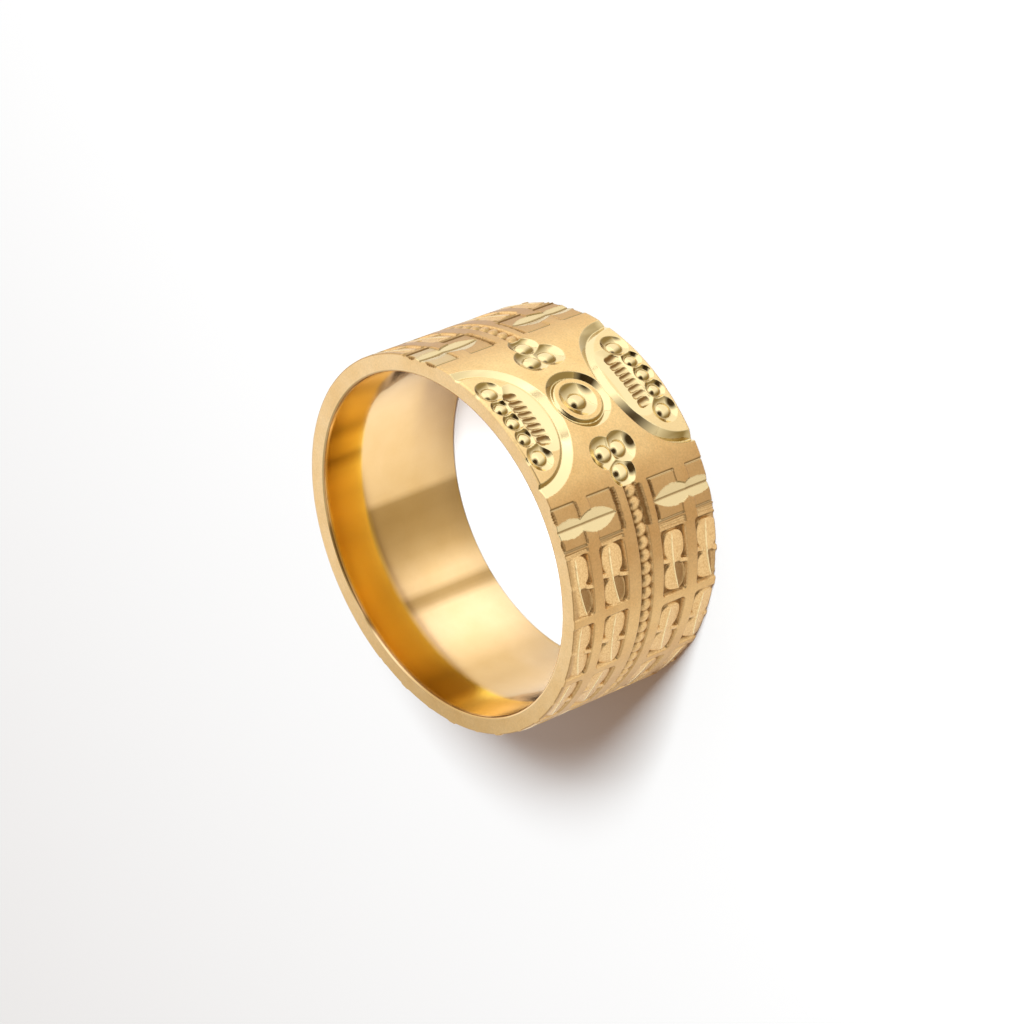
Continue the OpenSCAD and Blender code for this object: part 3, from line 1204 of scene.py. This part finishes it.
    def _corner_normals(self, normals: np.ndarray, loops: np.ndarray) -> np.ndarray:
        """Gives each corner its point's normal, and the corners of the end caps the cap's own."""
        n_row = normals.shape[1]
        corners = normals.reshape(-1, 3)[loops]
        first, last = math.radians(self.start), math.radians(self.end)
        corners[-2 * n_row:-n_row] = (-math.cos(first), -math.sin(first), 0.0)
        corners[-n_row:] = (math.cos(last), math.sin(last), 0.0)
        return corners

    def _lean_bore(self, blank: Blank, points: np.ndarray, normals: np.ndarray) -> np.ndarray:
        """Turns the normals of the bore towards its mouths, as a comfortably domed bore would have them.

        Args:
            blank: the plain band.
            points: the section's points.
            normals: its normals, which are changed.

        Returns:
            How far each point of the bore has turned, from 0 to 1.
        """
        rows = self.grid.bore_slice()
        bearing = np.degrees(np.arctan2(points[:, rows, 0], -points[:, rows, 1]))
        z = points[:, rows, 2]
        lean = blank.lean(z, blank.top(bearing, blank.bore_r) - z)
        share = blank.mouth_share(lean)
        lean = lean * blank.lean_left(bearing)
        normals[:, rows, :] *= np.cos(lean)[..., None]
        normals[:, rows, 2] += np.sin(lean)
        return share

    def _write_fields(self, mesh: bpy.types.Mesh, relief: Relief, share: np.ndarray, n_row: int) -> None:
        """Writes the finishes of the outer rows, and the bore's share of mouth, as point attributes."""
        n_outer = self.grid.outer_rows
        fields = {}
        for name in Relief.FIELDS[1:]:
            values = np.zeros((len(share), n_row), np.float32)
            values[:, :n_outer] = getattr(relief, name)[1:-1]
            values[:, n_outer:n_outer + self.grid.round_rows] = values[:, n_outer - 1:n_outer]
            fields[name] = values
        fields[MOUTH] = np.zeros((len(share), n_row), np.float32)
        fields[MOUTH][:, self.grid.bore_slice()] = share
        for name, values in fields.items():
            mesh.attributes.new(name, "FLOAT", "POINT").data.foreach_set("value", values.ravel())


def linear(hex_colour: str) -> Rgba:
    """Turns an sRGB hex colour into the linear colour that shaders take.

    Args:
        hex_colour: the colour, such as "#F5CD8F".

    Returns:
        Red, green, blue and an alpha of 1.
    """
    parts = [int(hex_colour[k:k + 2], 16) / 255.0 for k in (1, 3, 5)]
    made = [c / 12.92 if c <= 0.04045 else ((c + 0.055) / 1.055) ** 2.4 for c in parts]
    return (made[0], made[1], made[2], 1.0)


def add_node(
    tree: Tree, kind: str, settings: Optional[dict[str | int, object]] = None,
    links: Optional[dict[str | int, Socket]] = None,
) -> bpy.types.Node:
    """Adds one node to a tree.

    Args:
        tree: the tree.
        kind: the node's type.
        settings: values by name, for the node's own properties or its input sockets.
        links: output sockets by the name or number of the input that each goes to.

    Returns:
        The new node.
    """
    node = tree.nodes.new(kind)
    for name, value in (settings or {}).items():
        if isinstance(name, int) or name in node.inputs:
            node.inputs[name].default_value = value
        else:
            setattr(node, name, value)
    for name, output in (links or {}).items():
        tree.links.new(output, node.inputs[name])
    return node


def tone(level: float, dimming: tuple[float, float]) -> Rgba:
    """Gives the colour that dims gold to a level: gold grows redder as it darkens.

    Args:
        level: the share of light that is left, up to 1.
        dimming: how much faster than the red the green and the blue fade.

    Returns:
        A linear colour that multiplies the metal's own.
    """
    return (level, level ** dimming[0], level ** dimming[1], 1.0)


@dataclass(frozen=True)
class Band:
    """One stop of the slow bands of tone round the ring: a bearing, and the share of light left there."""

    bearing: float
    level: float


@dataclass(frozen=True)
class Grain:
    """A fine texture: its size, how deep it goes, its finer layers and their share, and its stretch."""

    size: float
    depth: float
    layers: float = 2.0
    layer_share: float = 0.6
    stretch: tuple[float, float, float] = (1.0, 1.0, 1.0)

    def noise(self) -> dict[str, float]:
        """Gives the settings of a noise whose features have this grain's size in millimetres."""
        return {"Scale": 1.0 / (self.size * MM), "Detail": self.layers, "Roughness": self.layer_share}


@dataclass(frozen=True)
class GoldFinish:
    """18 karat yellow gold, cast and then finished in one of the ways below.

    The colour drifts towards the shade in clouds, with fine specks over them, and the roughness varies by
    its unevenness in patches. The bands are the slow changes of tone that the photograph's surroundings give.
    """

    name: str
    colour: str
    shade: str
    roughness: float
    unevenness: float
    grain: Grain
    bands: tuple[Band, ...]
    specks: float = 0.05
    speck_grain: Grain = Grain(0.09, 0.0)
    speck_range: tuple[float, float] = (0.3, 0.7)
    clouds: Grain = Grain(1.6, 0.0, 3.0)
    cloud_range: tuple[float, float] = (0.35, 0.7)
    patches: Grain = Grain(0.5, 0.0, 4.0)
    dimming: tuple[float, float] = (1.18, 1.66)

    def material(self) -> bpy.types.Material:
        """Makes the material: a metal with a slow change of colour and a fine grain.

        Returns:
            The material.
        """
        made = bpy.data.materials.new(self.name)
        made.use_nodes = True
        tree = made.node_tree
        tree.nodes.clear()
        place = add_node(tree, "ShaderNodeTexCoord").outputs["Object"]
        colour = self._colour(tree, place)
        roughness = self._roughness(tree, place)
        normal = self._normal(tree, place)
        gold = add_node(
            tree, "ShaderNodeBsdfPrincipled", {"Metallic": 1.0},
            {"Base Color": colour, "Roughness": roughness, "Normal": normal},
        )
        add_node(tree, "ShaderNodeOutputMaterial", None, {"Surface": gold.outputs["BSDF"]})
        return made

    def _colour(self, tree: Tree, place: Socket) -> Socket:
        """Mixes the metal's colour and its deeper shade in soft clouds, and lays the bands and specks on."""
        clouds = add_node(tree, "ShaderNodeTexNoise", self.clouds.noise(), {"Vector": place})
        low, high = self.cloud_range
        spread = add_node(
            tree, "ShaderNodeMapRange", {"From Min": low, "From Max": high}, {"Value": clouds.outputs["Fac"]},
        )
        mix = add_node(
            tree, "ShaderNodeMix", {"data_type": "RGBA", 6: linear(self.colour), 7: linear(self.shade)},
            {0: spread.outputs["Result"]},
        )
        toned = add_node(
            tree, "ShaderNodeMix", {"data_type": "RGBA", "blend_type": "MULTIPLY", 0: 1.0},
            {6: mix.outputs[2], 7: self._tone(tree, place, self.bands)},
        )
        specks = add_node(tree, "ShaderNodeTexNoise", self.speck_grain.noise(), {"Vector": place})
        low, high = self.speck_range
        spread = add_node(
            tree, "ShaderNodeMapRange",
            {"From Min": low, "From Max": high, "To Min": 1.0 - self.specks, "To Max": 1.0 + self.specks},
            {"Value": specks.outputs["Fac"]},
        )
        specked = add_node(
            tree, "ShaderNodeMix", {"data_type": "RGBA", "blend_type": "MULTIPLY", 0: 1.0},
            {6: toned.outputs[2], 7: spread.outputs["Result"]},
        )
        return specked.outputs[2]

    def _tone(self, tree: Tree, place: Socket, bands: tuple[Band, ...]) -> Socket:
        """Grades the bands by the bearing of each point, and closes them on the first."""
        parts = add_node(tree, "ShaderNodeSeparateXYZ", None, {"Vector": place}).outputs
        front = add_node(tree, "ShaderNodeMath", {"operation": "MULTIPLY", 1: -1.0}, {0: parts["Y"]})
        turn = add_node(
            tree, "ShaderNodeMath", {"operation": "ARCTAN2"}, {0: parts["X"], 1: front.outputs[0]},
        )
        share = add_node(
            tree, "ShaderNodeMath", {"operation": "DIVIDE", 1: 2.0 * math.pi}, {0: turn.outputs[0]},
        )
        whole = add_node(
            tree, "ShaderNodeMath", {"operation": "FLOORED_MODULO", 1: 1.0}, {0: share.outputs[0]},
        )
        grade = add_node(tree, "ShaderNodeValToRGB", None, {"Fac": whole.outputs[0]})
        elements = grade.color_ramp.elements
        elements.remove(elements[1])
        for number, band in enumerate((*bands, Band(360.0, bands[0].level))):
            element = elements[0] if number == 0 else elements.new(band.bearing / 360.0)
            element.position = band.bearing / 360.0
            element.color = tone(band.level, self.dimming)
        return grade.outputs["Color"]

    def _roughness(self, tree: Tree, place: Socket) -> Socket:
        """Varies the roughness a little about its usual value."""
        patches = add_node(tree, "ShaderNodeTexNoise", self.patches.noise(), {"Vector": place})
        settings = {"To Min": self.roughness - self.unevenness, "To Max": self.roughness + self.unevenness}
        spread = add_node(tree, "ShaderNodeMapRange", settings, {"Value": patches.outputs["Fac"]})
        return spread.outputs["Result"]

    def _normal(self, tree: Tree, place: Socket) -> Socket:
        """Bends the light by the grain."""
        stretched = add_node(tree, "ShaderNodeMapping", {"Scale": self.grain.stretch}, {"Vector": place})
        grain = add_node(
            tree, "ShaderNodeTexNoise", self.grain.noise(), {"Vector": stretched.outputs["Vector"]},
        )
        bump = add_node(
            tree, "ShaderNodeBump", {"Strength": 1.0, "Distance": self.grain.depth * MM},
            {"Height": grain.outputs["Fac"]},
        )
        return bump.outputs["Normal"]


@dataclass(frozen=True)
class CarvedGoldFinish(GoldFinish):
    """The outer side: satin gold with bright cuts, cast skin and recesses of painted shade, each where its
    field says.
    """

    # Painted highlight: the bright cuts are drawn in a paler gold than the satin, on top of their real low
    # roughness.
    cut_highlight_colour: str = "#FDE6AE"
    cut_roughness: float = 0.08
    cast_colour: str = "#F3CC8F"
    cast_roughness: float = 0.31
    cast_grain: Grain = Grain(0.085, 0.014, 4.0)
    pit_colour: str = "#D2A468"
    pit_range: tuple[float, float] = (0.38, 0.72)
    shade_colour: str = "#8E743F"
    # Painted shade: the dark brown laid into hollows, creases and single flanks.
    recess_shade_colour: str = "#80582A"
    recess_roughness: float = 0.6

    def _colour(self, tree: Tree, place: Socket) -> Socket:
        """Adds the colours of the cast skin and the bright cuts, and the painted shade of the dim flanks and
        the recesses.
        """
        colour = super()._colour(tree, place)
        skin = add_node(tree, "ShaderNodeTexNoise", self.cast_grain.noise(), {"Vector": place})
        low, high = self.pit_range
        pits = add_node(
            tree, "ShaderNodeMapRange", {"From Min": low, "From Max": high}, {"Value": skin.outputs["Fac"]},
        )
        cast = add_node(
            tree, "ShaderNodeMix",
            {"data_type": "RGBA", 6: linear(self.cast_colour), 7: linear(self.pit_colour)},
            {0: pits.outputs["Result"]},
        )
        where = add_node(tree, "ShaderNodeAttribute", {"attribute_name": "cast"})
        mix = add_node(
            tree, "ShaderNodeMix", {"data_type": "RGBA"},
            {0: where.outputs["Fac"], 6: colour, 7: cast.outputs[2]},
        )
        finishes = (("polish", self.cut_highlight_colour), ("shade", self.shade_colour), ("recess", self.recess_shade_colour))
        for name, value in finishes:
            where = add_node(tree, "ShaderNodeAttribute", {"attribute_name": name})
            mix = add_node(
                tree, "ShaderNodeMix", {"data_type": "RGBA", 7: linear(value)},
                {0: where.outputs["Fac"], 6: mix.outputs[2]},
            )
        return mix.outputs[2]

    def _roughness(self, tree: Tree, place: Socket) -> Socket:
        """Adds the roughness of the cast skin, the bright cuts and the recesses."""
        roughness = super()._roughness(tree, place)
        finishes = (
            ("cast", self.cast_roughness), ("polish", self.cut_roughness), ("recess", self.recess_roughness),
        )
        for name, value in finishes:
            where = add_node(tree, "ShaderNodeAttribute", {"attribute_name": name})
            mix = add_node(
                tree, "ShaderNodeMix", {"data_type": "FLOAT", 3: value},
                {0: where.outputs["Fac"], 2: roughness},
            )
            roughness = mix.outputs[0]
        return roughness

    def _normal(self, tree: Tree, place: Socket) -> Socket:
        """Adds the coarser grain of the cast skin, and takes the fine grain off the bright cuts."""
        fine = add_node(tree, "ShaderNodeTexNoise", self.grain.noise(), {"Vector": place})
        coarse = add_node(tree, "ShaderNodeTexNoise", self.cast_grain.noise(), {"Vector": place})
        bright = add_node(tree, "ShaderNodeAttribute", {"attribute_name": "polish"})
        dull = add_node(
            tree, "ShaderNodeMath", {"operation": "SUBTRACT", 0: 1.0}, {1: bright.outputs["Fac"]},
        )
        first = add_node(
            tree, "ShaderNodeBump", {"Distance": self.grain.depth * MM},
            {"Height": fine.outputs["Fac"], "Strength": dull.outputs[0]},
        )
        cast = add_node(tree, "ShaderNodeAttribute", {"attribute_name": "cast"})
        second = add_node(
            tree, "ShaderNodeBump", {"Distance": self.cast_grain.depth * MM},
            {
                "Height": coarse.outputs["Fac"], "Strength": cast.outputs["Fac"],
                "Normal": first.outputs["Normal"],
            },
        )
        return second.outputs["Normal"]


@dataclass(frozen=True)
class BoreGoldFinish(GoldFinish):
    """The polished bore, with a deeper gold painted near its mouths as its reflection in itself, again and
    again.
    """

    # Painted reflection: the deeper gold laid on near the mouths, where the bore mirrors itself.
    mouth_reflection_colour: str = "#FFCE4B"
    mouth_roughness: float = 0.2
    mouth_bands: tuple[Band, ...] = ()

    def _roughness(self, tree: Tree, place: Socket) -> Socket:
        """Adds the duller polish of the mouth."""
        roughness = super()._roughness(tree, place)
        share = add_node(tree, "ShaderNodeAttribute", {"attribute_name": MOUTH})
        mix = add_node(
            tree, "ShaderNodeMix", {"data_type": "FLOAT", 3: self.mouth_roughness},
            {0: share.outputs["Fac"], 2: roughness},
        )
        return mix.outputs[0]

    def _colour(self, tree: Tree, place: Socket) -> Socket:
        """Adds the deeper gold of the mouth, a painted reflection."""
        colour = super()._colour(tree, place)
        share = add_node(tree, "ShaderNodeAttribute", {"attribute_name": MOUTH})
        deep = linear(self.mouth_reflection_colour)
        mouth = add_node(
            tree, "ShaderNodeMix", {"data_type": "RGBA", "blend_type": "MULTIPLY", 0: 1.0, 6: deep},
            {7: self._tone(tree, place, self.mouth_bands)},
        )
        mix = add_node(
            tree, "ShaderNodeMix", {"data_type": "RGBA"},
            {0: share.outputs["Fac"], 6: colour, 7: mouth.outputs[2]},
        )
        return mix.outputs[2]


# Painted reflection and shade: each band is the share of light left at a bearing, laid into the colour of the
# outer side, the end faces and the bore in place of the brighter and dimmer surroundings that they mirror.
OUTER_BANDS = (
    Band(0.0, 0.95), Band(12.0, 0.96), Band(20.0, 0.96), Band(27.0, 0.82), Band(40.0, 0.6),
    Band(55.0, 0.52), Band(90.0, 0.68), Band(180.0, 0.76), Band(270.0, 0.7), Band(280.0, 0.74),
    Band(288.0, 0.78), Band(294.0, 0.75), Band(300.0, 0.67), Band(308.0, 0.59), Band(315.0, 0.55),
    Band(323.0, 0.56), Band(330.0, 0.59), Band(335.0, 0.66), Band(339.0, 0.79), Band(346.0, 0.83),
    Band(352.0, 0.89),
)
FACE_BANDS = (
    Band(0.0, 0.95), Band(45.0, 1.0), Band(145.0, 1.0), Band(165.0, 0.86), Band(180.0, 0.78),
    Band(205.0, 0.67), Band(230.0, 0.71), Band(255.0, 0.83), Band(280.0, 0.95), Band(305.0, 1.0),
    Band(330.0, 0.97),
)
BORE_BANDS = (
    Band(0.0, 0.72), Band(60.0, 0.72), Band(80.0, 0.57), Band(100.0, 0.7), Band(120.0, 0.65),
    Band(134.0, 0.57), Band(136.5, 0.3), Band(142.0, 0.29), Band(149.0, 0.34), Band(155.0, 0.45),
    Band(160.0, 0.64), Band(163.0, 0.75), Band(166.5, 0.74), Band(168.5, 0.43), Band(171.0, 0.44),
    Band(174.0, 0.88), Band(180.0, 0.93), Band(187.0, 0.88), Band(193.0, 0.74), Band(200.0, 0.57),
    Band(210.0, 0.51), Band(220.0, 0.55), Band(234.0, 0.57), Band(250.0, 0.8), Band(270.0, 0.9),
    Band(302.0, 0.72),
)
# Painted reflection of the bore in itself near its mouths, with narrow stops that paint glints and dark
# streaks.
MOUTH_BANDS = (
    Band(0.0, 0.9), Band(80.0, 1.0), Band(96.0, 0.62), Band(102.0, 0.55), Band(107.0, 1.0),
    Band(111.0, 0.95), Band(114.0, 0.6), Band(118.0, 0.95), Band(123.0, 1.0), Band(127.0, 0.9),
    Band(134.0, 1.0), Band(142.0, 0.92), Band(152.0, 1.0), Band(164.0, 0.86), Band(176.0, 0.95),
    Band(187.0, 0.9), Band(193.0, 0.75), Band(199.0, 0.5), Band(208.0, 0.52), Band(214.0, 0.95),
    Band(300.0, 1.0),
)
# Blasted with grit of 0.05 mm and lightly brushed: pale, matt and even. The bright cuts shine like a mirror
# and are drawn paler as a painted highlight, the cast skin between them is grainier, the recesses are rougher
# and darkened with painted shade, and flanks that look one way take a painted reflection of a dimmer side.
# Real specks and the grain of cast gold are too fine to show here, and are drawn as coarse as they need to
# be.
SATIN = CarvedGoldFinish(
    "sanded_and_bright_cut_gold", "#FFDC9B", "#F8D08C", 0.4, 0.05, Grain(0.05, 0.006), OUTER_BANDS,
    specks=0.09, dimming=(1.34, 1.62),
)
# Turned on a lathe and rubbed: a little smoother than the outside, with small pits drawn as large as they
# need to be to show.
FACE = GoldFinish(
    "turned_face_gold", "#F4D29D", "#EDC68A", 0.36, 0.06, Grain(0.07, 0.005), FACE_BANDS, specks=0.07,
)
# Polished with a felt bob: long soft reflections, and faint scratches round the bore, drawn far wider than
# they are so that they show.
BORE = BoreGoldFinish(
    "polished_bore_gold", "#FFDFAF", "#FAD8A4", 0.09, 0.02, Grain(0.08, 0.0006, stretch=(0.25, 0.25, 1.0)),
    BORE_BANDS, specks=0.015, mouth_bands=MOUTH_BANDS,
)


@dataclass(frozen=True)
class Studio:
    """A white table under soft light, and a camera at the photograph's angle to the ring.

    Angles are in degrees and places in millimetres, except that the camera's clipping distances are in
    metres. The opening and the tent's two sides lie between the given cosines of the angle to their axes.
    """

    azimuth: float = -24.99
    elevation: float = 38.68
    roll: float = -111.53
    distance: float = 232.95
    aim: tuple[float, float, float] = (1.02, 1.63, 2.60)
    lens: float = 169.56
    sensor: float = 36.0
    clip_start: float = 0.01
    clip_end: float = 20.0
    floor_half: float = 3000.0
    floor_drop: float = 0.01
    floor_albedo: float = 0.22
    floor_roughness: float = 0.9
    # Painted light: the table glows faintly and warmly, though no lamp is under it, so that its shadows look
    # warmed by the gold.
    floor_painted_glow: float = 0.13
    floor_painted_glow_colour: str = "#FFB060"
    opening_azimuth: float = -28.0
    opening_elevation: float = 31.0
    opening_half_width: float = 0.58
    opening_half_height: float = 0.5
    opening_front: tuple[float, float] = (0.1, 0.3)
    opening_edge: tuple[float, float] = (1.5, 0.35)
    opening_colour: Rgba = (0.05, 0.035, 0.02, 1.0)
    dim_side: float = 0.65
    bright_side: float = 1.35
    side_range: tuple[float, float] = (-0.9, 0.2)
    box_place: tuple[float, float, float] = (15.0, -278.0, 288.0)
    box_size: float = 120.0
    box_power: float = 8.7
    box_colour: str = "#EEF9FF"
    snoot_height: float = 400.0
    snoot_reach: float = 8.9
    snoot_radius: float = 1.0
    snoot_blend: float = 0.05
    snoot_power: float = 16.8

    def directions(self, azimuth: float, elevation: float) -> tuple[Vector, Vector, Vector]:
        """Gives the directions that belong to a bearing and an elevation.

        Args:
            azimuth: the bearing in degrees.
            elevation: the angle above the table in degrees.

        Returns:
            Outwards, level to its right, and upwards across it.
        """
        a, e = math.radians(azimuth), math.radians(elevation)
        out = Vector((math.sin(a) * math.cos(e), -math.cos(a) * math.cos(e), math.sin(e)))
        level = Vector((math.cos(a), math.sin(a), 0.0))
        return out, level, out.cross(level)

    def axes(self) -> tuple[Vector, Vector, Vector, Vector]:
        """Gives the directions that the studio is laid out by.

        Returns:
            Towards the camera, level across its view, upwards across its view, and the picture's own up.
        """
        back, level, rise = self.directions(self.azimuth, self.elevation)
        roll = math.radians(self.roll)
        right = level * math.cos(roll) + rise * math.sin(roll)
        return back, level, rise, back.cross(right)

    def camera(self) -> bpy.types.Object:
        """Makes the camera.

        Returns:
            The camera object.
        """
        back, _, _, up = self.axes()
        right = up.cross(back)
        data = bpy.data.cameras.new("camera")
        data.lens = self.lens
        data.sensor_width = self.sensor
        data.clip_start = self.clip_start
        data.clip_end = self.clip_end
        made = bpy.data.objects.new("camera", data)
        turned = Matrix((right, up, back)).transposed().to_4x4()
        made.matrix_world = Matrix.Translation((Vector(self.aim) + back * self.distance) * MM) @ turned
        bpy.context.scene.collection.objects.link(made)
        bpy.context.scene.camera = made
        return made

    def floor(self) -> bpy.types.Object:
        """Makes the table top of white acrylic, with a faint warm painted glow that warms its shadows as
        light thrown back by the gold would.

        Returns:
            The floor object.
        """
        half = self.floor_half * MM
        low = -self.floor_drop * MM
        mesh = bpy.data.meshes.new("table_top")
        corners = [(-half, -half, low), (half, -half, low), (half, half, low), (-half, half, low)]
        mesh.from_pydata(corners, [], [(0, 1, 2, 3)])
        # Cast acrylic with a matt face and a faint warm painted glow, with no lamp under it: an even white
        # with no shine, whose shadows the glow warms.
        acrylic = bpy.data.materials.new("lit_white_acrylic")
        acrylic.use_nodes = True
        shader = acrylic.node_tree.nodes["Principled BSDF"]
        albedo = self.floor_albedo
        shader.inputs["Base Color"].default_value = (albedo, albedo, albedo, 1.0)
        shader.inputs["Roughness"].default_value = self.floor_roughness
        shader.inputs["Specular IOR Level"].default_value = 0.0
        shader.inputs["Emission Color"].default_value = linear(self.floor_painted_glow_colour)
        shader.inputs["Emission Strength"].default_value = self.floor_painted_glow
        mesh.materials.append(acrylic)
        made = bpy.data.objects.new("table_top", mesh)
        bpy.context.scene.collection.objects.link(made)
        return made

    def world(self) -> None:
        """Makes the white tent, dimmer on one side, with the dark opening that the camera looks through."""
        made = bpy.data.worlds.new("white_tent")
        made.use_nodes = True
        tree = made.node_tree
        tree.nodes.clear()
        direction = add_node(tree, "ShaderNodeTexCoord").outputs["Generated"]
        middle, level, rise = self.directions(self.opening_azimuth, self.opening_elevation)
        offs = [
            add_node(
                tree, "ShaderNodeVectorMath", {"operation": "DOT_PRODUCT", 1: tuple(axis)}, {0: direction},
            ).outputs["Value"]
            for axis in (level / self.opening_half_width, rise / self.opening_half_height)
        ]
        squares = [
            add_node(tree, "ShaderNodeMath", {"operation": "MULTIPLY"}, {0: off, 1: off}).outputs[0]
            for off in offs
        ]
        away = add_node(tree, "ShaderNodeMath", {"operation": "ADD"}, {0: squares[0], 1: squares[1]})
        facing = add_node(
            tree, "ShaderNodeVectorMath", {"operation": "DOT_PRODUCT", 1: tuple(middle)}, {0: direction},
        )
        low, high = self.opening_front
        front = add_node(
            tree, "ShaderNodeMapRange", {"From Min": low, "From Max": high},
            {"Value": facing.outputs["Value"]},
        )
        low, high = self.opening_edge
        hole = add_node(
            tree, "ShaderNodeMapRange", {"From Min": low, "From Max": high}, {"Value": away.outputs[0]},
        )
        share = add_node(
            tree, "ShaderNodeMath", {"operation": "MULTIPLY"},
            {0: front.outputs["Result"], 1: hole.outputs["Result"]},
        )
        picture_up = tuple(self.axes()[3])
        towards = add_node(
            tree, "ShaderNodeVectorMath", {"operation": "DOT_PRODUCT", 1: picture_up}, {0: direction},
        )
        low, high = self.side_range
        tent = add_node(
            tree, "ShaderNodeMapRange",
            {"From Min": low, "From Max": high, "To Min": self.dim_side, "To Max": self.bright_side},
            {"Value": towards.outputs["Value"]},
        )
        mix = add_node(
            tree, "ShaderNodeMix", {"data_type": "RGBA", 7: self.opening_colour},
            {0: share.outputs[0], 6: tent.outputs["Result"]},
        )
        light = add_node(tree, "ShaderNodeBackground", {"Strength": 1.0}, {"Color": mix.outputs[2]})
        add_node(tree, "ShaderNodeOutputWorld", None, {"Surface": light.outputs["Background"]})
        bpy.context.scene.world = made

    def _place(self, name: str, data: bpy.types.Light, place: tuple[float, float, float]) -> bpy.types.Object:
        """Puts a lamp in its place, facing the ring, where it leaves no glint on the metal."""
        made = bpy.data.objects.new(name, data)
        made.location = Vector(place) * MM
        made.rotation_mode = "QUATERNION"
        made.rotation_quaternion = (-made.location).to_track_quat("-Z", "Y")
        made.visible_camera = False
        made.visible_glossy = False
        bpy.context.scene.collection.objects.link(made)
        return made

    def soft_box(self) -> bpy.types.Object:
        """Makes the soft box that draws the ring's shadow.

        Returns:
            The lamp object.
        """
        data = bpy.data.lights.new("soft_box", "AREA")
        data.energy = self.box_power
        data.size = self.box_size * MM
        data.color = linear(self.box_colour)[:3]
        return self._place("soft_box", data, self.box_place)

    def snoot(self) -> bpy.types.Object:
        """Makes the narrow lamp straight above, which lights the table inside the ring.

        Returns:
            The lamp object.
        """
        data = bpy.data.lights.new("snoot", "SPOT")
        data.energy = self.snoot_power
        data.shadow_soft_size = self.snoot_radius * MM
        data.spot_size = 2.0 * math.atan(self.snoot_reach / self.snoot_height)
        data.spot_blend = self.snoot_blend
        return self._place("snoot", data, (0.0, 0.0, self.snoot_height))

    def build(self) -> None:
        """Sets up the camera, the table and the light."""
        self.camera()
        self.floor()
        self.world()
        self.soft_box()
        self.snoot()
        bpy.context.scene.view_settings.view_transform = "Standard"
        bpy.context.scene.view_settings.look = "None"


class BandRing:
    """The whole ring: the blank, its ornaments, and the sections that it is built in."""

    def __init__(self) -> None:
        """Reads the blank's sizes from the frame and lays out the ornaments."""
        self.blank = Blank.from_frame()
        self.blocks = (
            Block(Turn.LEFT, Side.UPPER, start=27.3, end=39.6, first_pocket=41.7),
            Block(
                Turn.LEFT, Side.LOWER, start=28.9, end=41.3, first_pocket=44.3,
                plates=((1.17, 2.96), (3.73, 5.6)), slots=((0.4, 0.78), (1.2, 1.45)),
                marquises=(
                    Marquise(1.2, 3.44, 2.55, 0.56, 0.31),
                    Marquise(3.42, 5.3, 3.85, 0.47, 0.14, 0.31),
                ),
            ),
            Block(Turn.RIGHT, Side.UPPER, start=29.8, end=42.1, first_pocket=44.3, bright_plate=0.55),
            Block(Turn.RIGHT, Side.LOWER, start=29.8, end=42.1, first_pocket=44.3),
        )
        firsts = {(block.turn, block.side): block.first_pocket for block in self.blocks}
        self.pockets = tuple(
            Pockets(column, firsts[Turn.RIGHT, column.side], 360.0 - firsts[Turn.LEFT, column.side])
            for column in COLUMNS
        )
        upper_disc = HalfDisc(
            Side.UPPER, outer_flank=(0.52, 0.5, 0.4), inner_flank=(0.2, 0.2, 0.3),
            groove_depth=(0.2, 0.2, 0.14), rim_depth=1.0, field_polish=0.15,
        )
        self.front = (upper_disc, HalfDisc(Side.LOWER), Target(), Trefoil(Turn.LEFT), Trefoil(Turn.RIGHT))
        self.sections = (
            Section("front_motif", -27.0, 27.0, 270),
            Section("left_side", -90.0, -27.0, 268),
            Section("right_side", 27.0, 90.0, 268),
            Section("left_back", -180.0, -90.0, 280),
            Section("right_back", 90.0, 180.0, 280),
        )

    def ornaments(self) -> list[Ornament]:
        """Gives everything that is cut into the outer side, in order."""
        return [BeadedLine(), *self.pockets, *self.blocks, *self.front]

    def build(self) -> list[bpy.types.Object]:
        """Builds every section and ties it to the frame.

        Returns:
            The pieces.
        """
        finishes = {Zone.OUTSIDE: SATIN.material(), Zone.FACE: FACE.material(), Zone.BORE: BORE.material()}
        made = []
        for section in self.sections:
            piece = section.build(self.blank, self.ornaments(), finishes)
            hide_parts(NODE)
            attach(piece, BODY)
            made.append(piece)
        return made


def main() -> None:
    """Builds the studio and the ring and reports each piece."""
    Studio().build()
    for piece in BandRing().build():
        log.info("%s: %d faces", piece.name, len(piece.data.polygons))


if __name__ == "__main__":
    main()
